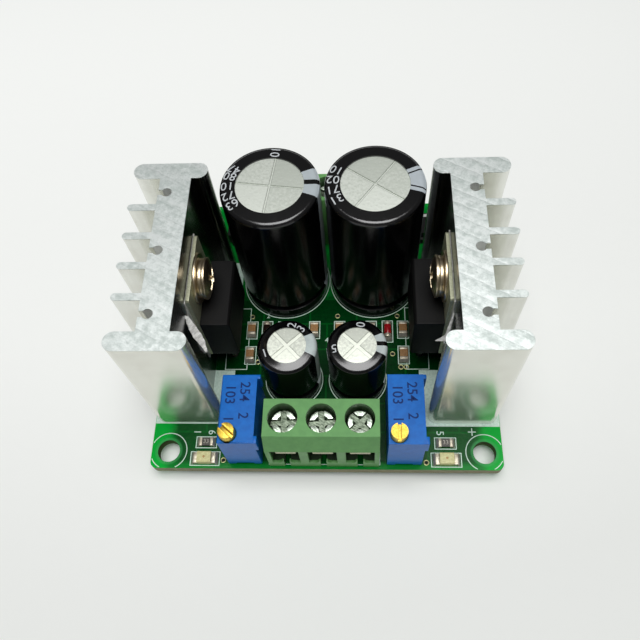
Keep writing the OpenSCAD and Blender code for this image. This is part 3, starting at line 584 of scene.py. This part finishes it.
def rod(name, place, radius, length, edge, turn=(0, 0, 0)):
    """A short cylinder with rounded rims."""
    piece = added(bpy.ops.mesh.primitive_cylinder_add, vertices=ROD_SIDES, radius=radius * MM,
                  depth=length * MM, location=place, rotation=[math.radians(part) for part in turn])
    settle(piece)
    piece.name = name
    return polish(soften(piece, edge))


def copy_of(piece, place, size, turn=0.0):
    """A copy with its own mesh, scaled, turned about Z and set at a place."""
    copy = bpy.data.objects.new(piece.name, piece.data.copy())
    bpy.context.scene.collection.objects.link(copy)
    copy.location, copy.scale, copy.rotation_euler.z = place, size, math.radians(turn)
    return settle(copy)


via_plate = plain_finish(
    "via_plate", (196, 196, 148), (158, 156, 104), 0.3, detail=(3, 0.5), span=None, vary=0.2, Metallic=1.0)
via_shade = plain_finish(
    "via_hole", (6, 14, 8), (16, 26, 18), 0.8, relief=0, detail=(2, 0.5), span=None, vary=0)

# %% Via rings
VIA_RADIUS, VIA_WIRE, VIA_FLAT, VIA_DEPTH, VIA_EDGE = 0.33, 0.075, 0.5, 0.03, 0.005
VIAS = ((-14.45, -21.8), (14.3, -21.97), (10.04, -5.2), (11.24, -7.38), (12.04, -7.38), (-10.47, -6.51),
        (-11.85, 1.28), (10.9, 1.3), (1.61, 1.36))


def discard(*pieces):
    for piece in pieces:
        take(piece)
        bpy.ops.object.delete()


ring = added(bpy.ops.mesh.primitive_torus_add, major_radius=VIA_RADIUS * MM, minor_radius=VIA_WIRE * MM,
             major_segments=28, minor_segments=8)
ring.name = "via_ring"
polish(ring)
hole = rod("via_hole", (0, 0, 0), VIA_RADIUS, VIA_DEPTH, VIA_EDGE)
rings, holes = [], []
for x, y in VIAS:
    place = Vector((x * MM, y * MM, TOP))
    rings.append(copy_of(ring, place, (1, 1, VIA_FLAT)))
    holes.append(copy_of(hole, place, (1, 1, 1)))
discard(ring, hole)
keep(join("via_rings", rings), via_plate)
keep(join("via_holes", holes), via_shade)

# %% [markdown]
# ## Heatsinks
# Each heatsink is a length of aluminium extrusion. Its drawn sides are dull mirrors that show the board. The
# blade frosts the sawn ends and leaves slanting strokes with a pale burr along each, so they scatter the lamp
# and look almost white. One finish covers both: it reads the height and turns to the sawn look at the two
# ends. The front flange and the fins are hazy, so part of what they show is plain grey. The keyhole channels,
# where the die tore the metal, are no mirrors at all. The face behind the front flange is painted darker, as
# painted shade that also dims its reflection of the board.

# %% Aluminium
SAWN_SKIN = 0.12
BLADE_SLANT, BLADE_PITCH, BLADE_WANDER, BURR = math.radians(30), 1.8, 0.45, 0.15
FLANGE, SHADE_Y, FACE_ROOM = 2.4, -7.5, 0.06
FLANGE_HAZE, SIDE_HAZE, STAIN = 0.22, 0.2, 0.3
CHANNEL_X, CHANNEL_Y, CHANNEL_PITCH, CHANNEL_R = 19.825, -2.5, 8.95, 0.675
DRAWN_PALE, DRAWN_DARK, FLANGE_TONE = (241, 242, 235), (235, 236, 229), (236, 236, 227)
STAIN_TONE, CHANNEL_TONE = (206, 203, 192), (216, 218, 214)
SHADE_TONE, SHADE_FRONT, SHADE_REAR = (84, 83, 80), (150, 150, 150), (136, 135, 132)
SAWN_PALE, SAWN_DARK = (250, 255, 253), (198, 207, 203)
sink_low, sink_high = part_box("right_heatsink")
mica_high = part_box("right_mica_sheet")[1]


def aluminium_finish():
    material, place = new_finish("heatsink_aluminium")
    x, y, z = place.split()
    sawn = 1 - (z < sink_high.z / MM - SAWN_SKIN) * (z > sink_low.z / MM + SAWN_SKIN)
    drawn = place.stretch((3.0, 3.0, 0.06)).noise(1.0, 3, 0.5)
    bands = place.stretch((0.12, 0.8, 1.0), (0, 0, BLADE_SLANT)).noise(1.0, 2, 0.5)
    lines = place.stretch((0.5, 9.0, 1.0), (0, 0, BLADE_SLANT)).noise(1.0, 3, 0.6)
    patches = place.noise(1.3, 6, 0.75)
    across = place.node("Mapping", sockets={"Vector": place, "Rotation": (0, 0, BLADE_SLANT)}).split()[1]
    strokes = (across / BLADE_PITCH + patches * BLADE_WANDER) % 1.0
    burr = 1 - strokes.rise(0.0, BURR)
    off_x = abs(x) - CHANNEL_X
    off_y = (y - CHANNEL_Y + CHANNEL_PITCH / 2) % CHANNEL_PITCH - CHANNEL_PITCH / 2
    channel = (off_x.away(off_y) < CHANNEL_R + FACE_ROOM) * (1 - sawn)
    front, rear = y < sink_low.y / MM + FLANGE, y > sink_high.y / MM - FLANGE
    inner = (abs(x) < mica_high.x / MM + FACE_ROOM) * (1 - front)
    bright = front.mix(drawn.rise(0.3, 0.7).mix(DRAWN_PALE, DRAWN_DARK), FLANGE_TONE)
    bright = (place.noise(0.35, 4, 0.6).rise(0.42, 0.7) * STAIN).mix(bright, STAIN_TONE)
    # Painted shade on the inner face behind the front flange, lighter towards the front and on the rear flange.
    shaded = rear.mix((y < SHADE_Y).mix(SHADE_TONE, SHADE_FRONT), SHADE_REAR)
    bright = channel.mix(inner.mix(bright, shaded), CHANNEL_TONE)
    cut = (bands * 0.25 + patches * 0.6 + lines * 0.15).rise(0.37, 0.63) * 0.8
    cut = cut + (strokes - burr * 0.8) * ((x > 0) * 0.22 + 0.12)
    frosted = (cut + (x < 0) * 0.1).mix(SAWN_PALE, SAWN_DARK)
    rough = sawn * (patches * 0.2 + bands * 0.2 + 0.36) + (1 - sawn) * (drawn * 0.05 + channel * 0.4 + 0.19)
    haze = front * FLANGE_HAZE + (1 - front) * (1 - inner) * SIDE_HAZE
    mirror = 1 - (1 - sawn) * (channel + (1 - channel) * haze)
    relief = sawn * (lines * 0.3 + patches * 0.4 + strokes * 0.4) + (1 - sawn) * drawn * 0.05
    looks = {"Base Color": sawn.mix(bright, frosted), "Metallic": mirror, "Roughness": rough}
    return lay_finish(material, looks, relief, 0.02)


aluminium = aluminium_finish()
tinned = plain_finish("tinned_metal", (232, 230, 226), (196, 195, 192), 0.28, 2.2, 0.015,
                      detail=(4, 0.6), span=None, vary=0.25, Metallic=1.0)

# %% Heatsink pieces
def dress(node, finish, edge=0.0, body=BODY, angle=SMOOTH_TURN):
    """A softened copy of a CAD node that takes its place."""
    piece = merged(node, node + "_dressed")
    if edge:
        soften(piece, edge)
    return keep(polish(piece, angle), finish, body, (node,))


for side in SIDES:
    dress(f"{side}_heatsink", aluminium, edge=0.1)
    dress(f"{side}_heatsink_pins", tinned, edge=0.1)

# %% [markdown]
# ## Regulators
# A regulator is a black moulded body on a plated metal tab. A screw with a spring washer and a flat washer
# clamps the tab to the heatsink, with a thin sheet of mica between them as insulation. Mica splits into pale
# flakes, so it is thin, cloudy and partly see-through.

# %% Regulator finishes
def plated_finish(name, pale, dark, rough):
    return plain_finish(name, pale, dark, rough, 1.0, 0.006, span=(0.2, 0.8), vary=0.2,
                        streaks=((3.0, 8.0, 5.0), (0, 0, 0.5)), Metallic=1.0)


def mica_finish():
    material, place = new_finish("mica")
    cloud = place.stretch((1.0, 2.2, 0.7)).noise(1.0, 4, 0.65)
    return lay_finish(material, {
        "Base Color": cloud.rise(0.35, 0.65).mix((232, 232, 226), (170, 170, 164)),
        "Roughness": cloud * 0.3 + 0.25, "Alpha": cloud.rise(0.2, 0.6) * 0.15 + 0.82}, cloud, 0.05)


mica = mica_finish()
moulding = plain_finish(
    "black_moulding", (5, 5, 5), (10, 10, 10), 0.45, 9.0, 0.012, span=None, vary=0.2, specular=0.2)
tab_plate = plated_finish("plated_tab", (222, 224, 196), (186, 188, 160), 0.42)
nickel = plated_finish("plated_steel", (230, 216, 186), (192, 174, 142), 0.2)

# %% Regulator pieces
REGULATOR = (
    ("regulator_body", moulding, "black_moulding", 0.12), ("regulator_tab", tab_plate, "plated_tab", 0.06),
    ("regulator_leads", tinned, "tinned_metal", 0.06), ("mica_sheet", mica, "mica", 0.0),
    ("flat_washer", nickel, "plated_steel", 0.1), ("spring_washer", nickel, "plated_steel", 0.14),
    ("regulator_screw", nickel, "plated_steel", 0.07))
for side in SIDES:
    for part, finish, slot, edge in REGULATOR:
        dress(f"{side}_{part}", finish, edge)

# %% [markdown]
# ## Split mica
# The sheets' front edges have split, and on each a thin flake stands out forwards and catches the light. A
# flake starts as a fine grid. Its points are laid along a line from its tip, which touches the sheet, to its
# foot, wide in the middle and with waves where the edges tore. Solidify then gives it its thickness.

# %% Mica flakes
FLAKE_THICKNESS, FLAKE_CURL = 0.06, 0.12
FLAKE_TEARS = ((0.05, 31, 0), (0.03, 73, 1))
TOOTH_PLACE, TOOTH_WIDTH = 0.8, 0.06
FLAKES = {"left": ((-16.7, -8.85, 23.1), (-14.7, -12.0, 19.3), (1.25, 0.0, -1.2), 0.0),
          "right": ((16.7, -8.85, 23.4), (15.8, -11.0, 19.3), (-0.36, 0.0, -0.2), 6.5)}


def mica_flake(name, tip, foot, across, tooth):
    """A thin leaf from its tip at the sheet to its foot, with one long tooth on its free side."""
    leaf = added(bpy.ops.mesh.primitive_grid_add, x_subdivisions=6, y_subdivisions=40, size=1)
    leaf.name = name
    for point in leaf.data.vertices:
        out, down = point.co.x, 0.5 - point.co.y
        width = math.sin(math.pi * (0.1 + 0.8 * down))
        for size, rate, start in FLAKE_TEARS:
            width += size * math.sin(rate * down + start)
        if out > 0:
            width += tooth * math.exp(-((down - TOOTH_PLACE) / TOOTH_WIDTH) ** 2)
        place = Vector(tip).lerp(Vector(foot), down) + Vector(across) * out * width
        place.y += FLAKE_CURL * down * math.sin(11 * down + 4 * out)
        point.co = place * MM
    modify(leaf, "SOLIDIFY", thickness=FLAKE_THICKNESS * MM, offset=0)
    return edit(leaf, face_out)


flake = plain_finish("mica_flake", (244, 244, 240), (196, 196, 192), 0.3, 1.0, 0.05, detail=(4, 0.65),
                     span=(0.35, 0.65), vary=0.3, streaks=((1.2, 0.8, 3.0), (0.4, 0.3, 0)))
for side in SIDES:
    keep(polish(mica_flake(f"{side}_mica_flake", *FLAKES[side])), flake)

# %% [markdown]
# ## Capacitors
# Each capacitor is a drawn aluminium can in a shrunk black sleeve. Two scored lines cross the bare top, so
# that it can burst safely. Each line is painted paler inside and darker along its edges, as painted light and
# shade of the crease, and each of the four quarters, which lean a little, gets a painted shade of its own. A
# pale stripe marks the negative side. It is part of the sleeve's own print, so the shader draws it from the
# angle round the can and the way along the film, which is below nought on the rim and above it down the wall.
# The rim is glossier than the wall: a clear coat fades below the shoulder.

# %% Capacitor finishes
BAR_PITCH, BAR_LENGTH, COAT_FADE = 7.0, 4.2, (0.3, 1.0)
GROOVE_SHADE, GROOVE_SHADE_TONE = 0.4, (112, 116, 110)
FILM_DARK, FILM_PALE, STRIPE_DARK = (2, 2, 3), (5, 5, 6), (172, 180, 182)


def can_finish(name, node, turn, line, edge, pale, dark, rough):
    """Satin aluminium with two turned scored lines: painted light inside, painted shade along their edges and
    per quarter.
    """
    material, place = new_finish(name)
    centre = middle(node)
    x, y = place.split()[:2]
    x, y = x - centre.x, y - centre.y
    cosine, sine = math.cos(math.radians(turn)), math.sin(math.radians(turn))
    across, along = x * cosine + y * sine, y * cosine - x * sine
    satin = place.noise(2.6, 4, 0.62)
    smear = place.stretch((0.5, 3.5, 1.0), (0, 0, 0.7)).noise(1.0, 3, 0.6)
    # Painted shade: each quarter is a little lighter or darker, as if it leaned towards or from the lamp.
    quarter_shade = (across > 0) * 0.18 + (along > 0) * 0.1 - 0.04
    metal = (satin * 0.75 + smear * 0.15 + quarter_shade).rise(0.38, 0.7).mix(pale, dark)
    beside = abs(across).least(abs(along))
    # Painted shade along both edges of each scored line.
    crease_shade = beside.rise(line - 0.02, line) * (1 - beside.rise(line + edge, line + edge + 0.04))
    # Painted light: paler inside each scored line.
    metal = (1 - beside.rise(line - 0.03, line)).mix(metal, pale)
    return lay_finish(material, {
        "Base Color": (crease_shade * GROOVE_SHADE).mix(metal, GROOVE_SHADE_TONE), "Metallic": 1.0,
        "Roughness": satin * 0.15 + rough}, satin, 0.015)


def sleeve_finish(name, node, stripe, bar_width, outline, pale_tone):
    """Black film with a pale stripe between two angles in degrees, with a bar or an outline in it."""
    material, place = new_finish(name)
    low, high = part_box(node)
    centre, radius = (low + high) / 2 / MM, (high.x - low.x) / 2 / MM
    x, y, z = place.split()
    x, y = x - centre.x, y - centre.y
    angle = y.maths("ARCTAN2", y, x)
    out = x.away(y)
    along = (high.z / MM - z) - (radius - out)
    start, stop = (math.radians(turn) for turn in stripe)
    half = (stop - start) / 2
    off_turn = abs(angle - (start + stop) / 2)
    edge = 0.04 / radius
    pale = 1 - off_turn.rise(half - edge, half + edge)
    step = (along + BAR_PITCH / 2) % BAR_PITCH
    bar = (off_turn * out < bar_width / 2) * (abs(step - BAR_PITCH / 2) < BAR_LENGTH / 2)
    line = abs(off_turn - (along * 0.02 + half * 0.72)) * out < outline / 2
    film = place.noise(1.4, 3, 0.6)
    black, grey = film.mix(FILM_DARK, FILM_PALE), film.mix(pale_tone, STRIPE_DARK)
    return lay_finish(material, {
        "Base Color": (pale * (1 - bar) * (1 - line)).mix(black, grey), "Specular IOR Level": 0.26,
        "Roughness": film * 0.08 + 0.16, "Coat Weight": 1 - along.rise(*COAT_FADE), "Coat Roughness": 0.2},
        film, 0.008)


# %% Capacitor pieces
STRIPES = {"left_filter": ((-17, 26), 0.75, 0.0, (186, 196, 202)),
           "right_filter": ((-14, 27), 0.0, 0.22, (190, 198, 206)),
           "left_output": ((-21, 30), 0.0, 0.0, (206, 220, 216)),
           "right_output": ((-20, 30), 0.62, 0.0, (206, 218, 214))}
VENT_TURN = {"left_filter": -7.5, "right_filter": 54, "left_output": 43, "right_output": 47}
RIM_FALL, RIM_DEPTH = {"filter": 0.16, "output": 0.0}, 0.3


def lower_rim(film, node, fall):
    """Lets a sleeve's level rim fall evenly from its inner edge to the shoulder."""
    low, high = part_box(node)
    centre, radius = (low + high) / 2, (high.x - low.x) / 2
    rim = [point for point in film.data.vertices if point.co.z > high.z - RIM_DEPTH * MM]
    reach = {point.index: (point.co.xy - centre.xy).length for point in rim}
    inner = min(reach.values())
    for point in rim:
        point.co.z -= fall * MM * (reach[point.index] - inner) / (radius - inner)


BARE = {"filter": (0.1, 0.06, (240, 245, 236), (214, 220, 210), 0.45),
        "output": (0.25, 0.05, (226, 230, 218), (190, 194, 184), 0.38)}
for side in SIDES:
    for part in ("filter", "output"):
        name = f"{side}_{part}"
        bare = can_finish(f"{name}_metal", f"{name}_can", VENT_TURN[name], *BARE[part])
        dress(f"{name}_can", bare, angle=30)
        sleeve = sleeve_finish(f"{name}_film", f"{name}_sleeve", *STRIPES[name])
        film = merged(f"{name}_sleeve", f"{name}_sleeve_dressed", whole_faces=False)
        lower_rim(film, f"{name}_sleeve", RIM_FALL[part])
        keep(polish(film, 50), sleeve, stands_for=(f"{name}_sleeve",))
        dress(f"{name}_leads", tinned)

# %% [markdown]
# ## Figures on the sleeves
# The sleeves carry plain numbers in white ink. Their lines run along the can and over its rim, so the first
# figures of a line lie on the rim and the rest stand on the wall below it. Each figure is a small flat plate,
# narrow enough to lie close on the curved film, and the plates on the rim lean with it.

# %% Sleeve figures
RIM_STEPS = {"filter": ((1.55, 0.02, 3), (0.62, 0.13, 12)), "output": ((0.98, 0.06, 8),)}
FIGURE_SIZE = {"filter": 1.8, "output": 1.7}
FIGURE_STEP, WALL_START = 0.62, 0.75
LINES = {"left_filter": (("01000", 84), ("47", 150), ("8025", 163), ("1050", 180), ("725", 197), ("63", 213)),
         "right_filter": (("1000", 155), ("025", 172), ("7105", 189), ("31", 206)),
         "left_output": (("2100", 78), ("35", 52), ("105", 200)),
         "right_output": (("0100", 80), ("525", 188))}


def sleeve_line(words, node, part, angle):
    """A line of figures over the rim and down the wall of a sleeve."""
    low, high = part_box(node)
    centre, radius = (low + high) / 2, (high.x - low.x) / 2
    turn = math.radians(angle)
    away = Vector((math.cos(turn), math.sin(turn), 0))
    size, steps = FIGURE_SIZE[part], RIM_STEPS[part]
    signs = []
    for count, sign in enumerate(words):
        if count < len(steps):
            inset, drop, lean = steps[count]
        else:
            inset, lean = 0.0, 90
            drop = WALL_START + size * FIGURE_STEP * (count - len(steps) + 0.5)
        place = Vector((centre.x, centre.y, high.z - drop * MM)) + away * (radius - inset * MM)
        signs.append(figure(sign, place, size, (0, lean, angle)))
    return signs


sleeve_ink = plain_finish("sleeve_ink", (216, 220, 222), (178, 184, 188), 0.4, 4.0, 0, span=None, vary=0)
for name, lines in LINES.items():
    signs = []
    for words, angle in lines:
        signs += sleeve_line(words, f"{name}_sleeve", name.split("_")[1], angle)
    keep(join(f"{name}_figures", signs), sleeve_ink)

# %% [markdown]
# ## Trimmers
# A trimmer is a glossy blue box with a slotted brass screw at one end. Numbers are stamped on top in dark
# ink, in two lines that run from the rear towards the screw. Two short ribs stand out from one long side, at
# its two corners. The CAD body has one rib, which the copy draws back into the wall before the two are added.

# %% Trimmer finishes
def blue_finish():
    material, place = new_finish("blue_housing")
    cloud = place.noise(1.1, 3, 0.55)
    grain = place.noise(14.0, 2)
    return lay_finish(material, {
        "Base Color": cloud.rise(0.3, 0.7).mix((8, 108, 198), (6, 98, 186)),
        "Specular IOR Level": 0.22, "Roughness": grain * 0.12 + 0.3}, grain, 0.008)


blue = blue_finish()
brass = plain_finish(
    "brass", (236, 206, 96), (206, 168, 62), 0.36, 5.0, 0.02, detail=(4, 0.65), vary=0.2, Metallic=1.0)
stamp_ink = plain_finish(
    "stamp_ink", (4, 34, 92), (8, 52, 116), 0.45, relief=0, span=None, vary=0, specular=0.15)

# %% Trimmer pieces
STAMPS = (("103", -1.16, 1.95), ("1", -1.16, -1.5), ("254", 0.78, 2.35), ("2", 0.78, -1.05))
STAMP_SIZE, STAMP_WEIGHT, STAMP_COAT = 1.9, 0.02, 0.01
RIB_OUT, RIB_FOOT, FRONT_RIB, REAR_RIB = 0.4, 3.0, 1.05, 0.65
RIB_ROOT, RIB_SKIN, RIB_EDGE, BOX_EDGE = 0.2, 0.01, 0.1, 0.14


def rounded_block(name, low, high, edge, steps=BEVEL_STEPS):
    """A block between two corners with all its edges rounded."""
    block = added(bpy.ops.mesh.primitive_cube_add, size=1, location=(low + high) / 2)
    block.name = name
    block.scale = high - low
    settle(block)
    edit(block, lambda: bpy.ops.mesh.bevel(offset=edge * MM, segments=steps, affect="EDGES"))
    return polish(block)


def trimmer_body(side):
    """The box without its CAD rib, and with a rib at both corners of that side."""
    node = f"{side}_trimmer_body"
    low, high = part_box(node)
    wall = high.x - RIB_OUT * MM
    box = merged(node, f"{node}_dressed", whole_faces=False)
    for corner in box.data.vertices:
        corner.co.x = min(corner.co.x, wall)
    edit(box, weld, clear_flats)
    pieces = [polish(soften(box, BOX_EDGE))]
    skin = RIB_SKIN * MM
    for front, rear in ((low.y + skin, low.y + FRONT_RIB * MM), (high.y - REAR_RIB * MM, high.y - skin)):
        root = Vector((wall - RIB_ROOT * MM, front, high.z - RIB_FOOT * MM))
        pieces.append(rounded_block("trimmer_rib", root, Vector((high.x, rear, high.z - skin)), RIB_EDGE))
    return keep(join(f"{node}_dressed", pieces), blue, stands_for=(node,))


for side in SIDES:
    trimmer_body(side)
    dress(f"{side}_trimmer_screw", brass, edge=0.1, body=f"{side}_trimmer_screw")
    dress(f"{side}_trimmer_pins", tinned)
    spot, high = middle(f"{side}_trimmer_pins"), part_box(f"{side}_trimmer_body")[1]
    lines = []
    for words, x, y in STAMPS:
        place = Vector(((spot.x + x) * MM, (spot.y + y) * MM, high.z))
        lines.append(figure(words, place, STAMP_SIZE, (0, 0, -90), STAMP_COAT, STAMP_WEIGHT))
    keep(join(f"{side}_trimmer_stamp", lines), stamp_ink)

# %% [markdown]
# ## Terminal blocks
# A block is a green moulded housing with a steel cage in each way. Turning the screw in its well draws the
# cage up and clamps the wire. The screws are bright zinc, painted darker in the recess as painted shade, and
# the cages and contacts are dull plated sheet. The housing's green is painted darker down the wells and inside
# the wire mouths, as painted shade.

# %% Terminal finishes
WAY_PITCH, WELL_ROW, WELL_RADIUS, WELL_SHADE = 5.08, 18.95, 2.03, 1.5
MOUTH_FRONT, MOUTH_REAR, MOUTH_TOP, MOUTH_HALF = 22.2, 15.4, 6.8, 1.96
WELL_SHADE_TONE, MOUTH_SHADE_TONE = (30, 48, 28), (40, 62, 36)
RECESS = (0.2, 0.08)


def green_finish():
    material, place = new_finish("green_housing")
    x, y, z = place.split()
    cloud = place.noise(0.9, 3, 0.55)
    grain = place.noise(12.0, 2)
    fresh = cloud.rise(0.3, 0.7).mix((104, 162, 94), (96, 152, 88))
    off_x = (x + WAY_PITCH / 2) % WAY_PITCH - WAY_PITCH / 2
    from_axis = off_x.away(abs(y) - WELL_ROW)
    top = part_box("output_terminal_housing")[1].z / MM
    # Painted shade: darker down each well and inside each wire mouth.
    well_painted_shade = (from_axis < WELL_RADIUS) * (top - z).rise(0.0, WELL_SHADE) * 0.85
    mouth_painted_shade = (abs(y) < MOUTH_FRONT) * (abs(y) > MOUTH_REAR) * (z < TOP / MM + MOUTH_TOP)
    mouth_painted_shade = mouth_painted_shade * (abs(off_x) < MOUTH_HALF)
    return lay_finish(material, {
        "Base Color": mouth_painted_shade.mix(well_painted_shade.mix(fresh, WELL_SHADE_TONE), MOUTH_SHADE_TONE),
        "Specular IOR Level": 0.3, "Roughness": grain * 0.15 + 0.36}, grain, 0.01)


def screw_finish():
    """Bright zinc on the upper face, painted darker below it in the recess as painted shade."""
    material, place = new_finish("bright_zinc")
    z = place.split()[2]
    brushed = place.stretch((1.5, 5.0, 1.5), (0, 0, 0.5)).noise(1.0, 4, 0.7)
    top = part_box("output_screw_1")[1].z / MM
    # Painted shade in the recess below the screw's upper face.
    recess_painted_shade = 1 - z.rise(top - RECESS[0], top - RECESS[1])
    bright = brushed.rise(0.4, 0.6).mix((226, 236, 222), (150, 164, 146))
    recess_shade_tone = brushed.rise(0.4, 0.6).mix((128, 138, 122), (76, 86, 72))
    looks = {"Base Color": recess_painted_shade.mix(bright, recess_shade_tone), "Metallic": 1.0, "Roughness": brushed * 0.15 + 0.3}
    return lay_finish(material, looks, brushed, 0.006)


green, zinc = green_finish(), screw_finish()
sheet_steel = plated_finish("clamp_steel", (214, 210, 186), (176, 172, 150), 0.32)

# %% Terminal pieces
for end in ENDS:
    dress(f"{end}_terminal_housing", green, edge=0.14)
    dress(f"{end}_contacts", sheet_steel, edge=0.06)
    for way in (1, 2, 3):
        dress(f"{end}_screw_{way}", zinc, edge=0.12, body=f"{end}_screw_{way}")
        dress(f"{end}_cage_{way}", sheet_steel, edge=0.08, body=f"{end}_cage_{way}")

# %% [markdown]
# ## Chip parts
# The chips are soldered flat to pads. A chip capacitor is brown ceramic with tinned ends, and a chip resistor
# has a black glaze on top. Each is made from rounded blocks at the size of its CAD solid. The solder that
# holds it is a wedge which runs from the end cap down to the pad: one wedge is modelled and copied.

# %% Chip finishes
ceramic = plain_finish("ceramic", (164, 122, 70), (138, 98, 54), 0.4)
glaze = plain_finish("resistor_film", (52, 48, 42), (70, 64, 56), 0.35)
resin = plain_finish("led_resin", (212, 208, 150), (190, 184, 126), 0.25, 3.0)
red_glass = plain_finish("diode_glass", (176, 30, 36), (120, 16, 22), 0.12, 2.0)
dark_glass = plain_finish("diode_glass_dark", (44, 26, 20), (24, 16, 14), 0.12, 2.0)
solder = plain_finish("solder", (206, 202, 190), (170, 164, 150), 0.42, 2.5, 0.02, Metallic=0.75)
chip_tin = plain_finish("chip_tin", (214, 208, 190), (170, 160, 140), 0.42, 3.0, 0.02, Metallic=0.75)

# %% Solder wedge
WEDGE_EDGE, WEDGE_DROP, WEDGE_REACH, WEDGE_WIDTH, WEDGE_SUNK = 0.1, 0.7, 0.32, 1.1, 0.02
WEDGE_TURN = {(0, 1): 0, (0, -1): 180, (1, 1): 90, (1, -1): -90}


def solder_wedge():
    """A block of unit size whose far upper edge is drawn down to the pad."""
    wedge = rounded_block("solder_wedge", Vector((0, -0.5, 0)), Vector((1, 0.5, 1)), WEDGE_EDGE / MM)
    for corner in wedge.data.vertices:
        if corner.co.x > 0.5 and corner.co.z > 0.5:
            corner.co.z -= WEDGE_DROP
    return polish(wedge)


wedge = solder_wedge()
chip_ends, solder_wedges = [], []
print("wedge:", len(wedge.data.polygons), "faces")


def solder_down(low, high, axis, share=0.75):
    """A wedge of solder at both ends of a chip, up to a share of its height."""
    centre = (low + high) / 2
    width = (high[1 - axis] - low[1 - axis]) * WEDGE_WIDTH
    for way, end in ((1, high), (-1, low)):
        place = Vector((centre.x, centre.y, low.z))
        place[axis] = end[axis] - way * WEDGE_SUNK * MM
        size = (WEDGE_REACH * MM, width, (high.z - low.z) * share)
        solder_wedges.append(copy_of(wedge, place, size, WEDGE_TURN[axis, way]))


# %% Chip pieces
END_LENGTH, END_SHARE, WRAP, CHIP_EDGE = 0.42, 0.8, 0.04, 0.06
CHIP_FIGURE, FIGURE_COAT = 0.85, 0.01


def end_caps(low, high, axis, length, edge=CHIP_EDGE):
    """A tinned cap over each end of a chip."""
    near, far = high.copy(), low.copy()
    near[axis], far[axis] = low[axis] + length * MM, high[axis] - length * MM
    for corners in ((low, near), (far, high)):
        chip_ends.append(rounded_block("chip_end", *corners, edge))


def chip_parts(node, name, finish):
    """Bodies, tinned ends and solder for the solids of one chip node."""
    bodies = []
    for low, high in spots(node):
        axis = lengthwise(low, high)
        inner_low, inner_high = low.copy(), high.copy()
        for part in range(3):
            room = (END_LENGTH * END_SHARE if part == axis else WRAP) * MM
            inner_low[part] += room
            inner_high[part] -= room
        bodies.append(rounded_block(name, inner_low, inner_high, CHIP_EDGE / 2))
        end_caps(low, high, axis, END_LENGTH)
        solder_down(low, high, axis)
    return keep(join(name, bodies), finish, stands_for=(node,))


chip_parts("chip_capacitors", "chip_capacitor_bodies", ceramic)
chip_parts("chip_resistors", "chip_resistor_bodies", glaze)

# %% Resistor figures
resistor_figures = []
for low, high in spots("chip_resistors"):
    if lengthwise(low, high) == 0:
        spot = (low + high) / 2
        spot.z = high.z - WRAP * MM
        resistor_figures.append(figure("33", spot, CHIP_FIGURE, coat=FIGURE_COAT))
keep(join("resistor_figures", resistor_figures),
     plain_finish("resistor_ink", (196, 190, 176), (150, 146, 134), 0.5))

# %% [markdown]
# ## Indicators and diodes
# An indicator is a pale base with tinned ends and a cream resin block in which the die shows as a dot. A
# signal diode is a glass rod between two metal caps. Rectifier diodes have a grey band at one end.

# %% Indicators
LED_END, LED_END_EDGE, LED_BASE, LENS_START, LENS_EDGE = 0.62, 0.08, 0.62, 0.94, 0.1
DIE_RADIUS, DIE_HEIGHT, DIE_EDGE = 0.17, 0.03, 0.008
lenses, dies = [], []
die_finish = plain_finish("indicator_die", (190, 150, 84), (150, 112, 60), 0.4)
for low, high in spots("indicator_leds"):
    axis = lengthwise(low, high)
    cap_high = Vector((high.x, high.y, low.z + LED_BASE * (high.z - low.z)))
    end_caps(low, cap_high, axis, LED_END, LED_END_EDGE)
    solder_down(low, cap_high, axis)
    inset = Vector((LED_END * LENS_START * MM, 0, 0))
    lenses.append(rounded_block("indicator_lens", low + inset, high - inset, LENS_EDGE, 3))
    spot = (low + high) / 2
    dies.append(rod("indicator_die", Vector((spot.x, spot.y, high.z)), DIE_RADIUS, DIE_HEIGHT, DIE_EDGE))
keep(join("indicator_lenses", lenses), resin, stands_for=("indicator_leds",))
keep(join("indicator_dies", dies), die_finish)

# %% Signal diodes
DIODE_CAP, CAP_EDGE, BEAD_SHARE, BEAD_EDGE, DIODE_SOLDER = 0.6, 0.1, 0.95, 0.3, 0.6
ALONG_Y = (90, 0, 0)
for side, glass, (low, high) in zip(SIDES, (dark_glass, red_glass), spots("signal_diodes")):
    spot, radius = (low + high) / 2, (high.x - low.x) / 2 / MM
    length = (high.y - low.y) / MM
    bead = rod(f"{side}_diode_glass", spot, radius * BEAD_SHARE, length - DIODE_CAP, BEAD_EDGE, ALONG_Y)
    keep(bead, glass, stands_for=("signal_diodes",) if side == "left" else ())
    for way in (-1, 1):
        place = spot + Vector((0, way * (length - DIODE_CAP) / 2 * MM, 0))
        chip_ends.append(rod("diode_cap", place, radius, DIODE_CAP, CAP_EDGE, ALONG_Y))
    solder_down(Vector((low.x, low.y, TOP)), high, 1, DIODE_SOLDER)
keep(join("chip_end_caps", chip_ends), chip_tin)
keep(join("chip_solder", solder_wedges), solder)
discard(wedge)

# %% Rectifier diodes and solder joints
BAND_LOW, BAND_HIGH, BAND_EDGE = Vector((-1.2, 1.2, -0.05)) * MM, Vector((1.2, 1.75, 0.015)) * MM, 0.006
bands = []
for low, high in spots("rectifier_diodes"):
    spot = (low + high) / 2
    spot.z = high.z
    bands.append(rounded_block("rectifier_band", spot + BAND_LOW, spot + BAND_HIGH, BAND_EDGE))
dress("rectifier_diodes", moulding, edge=0.08)
band_ink = plain_finish("band_ink", (190, 192, 190), (160, 162, 160), 0.5)
keep(join("rectifier_bands", bands), band_ink)
dress("solder_joints", solder)

# %% [markdown]
# ## Sizes
# The box of everything that renders, without the floor, is printed in millimetres.

# %% Write the sizes and finish
low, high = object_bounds()
print("visual box:", [round(size / MM, 2) for size in high - low], "mm")
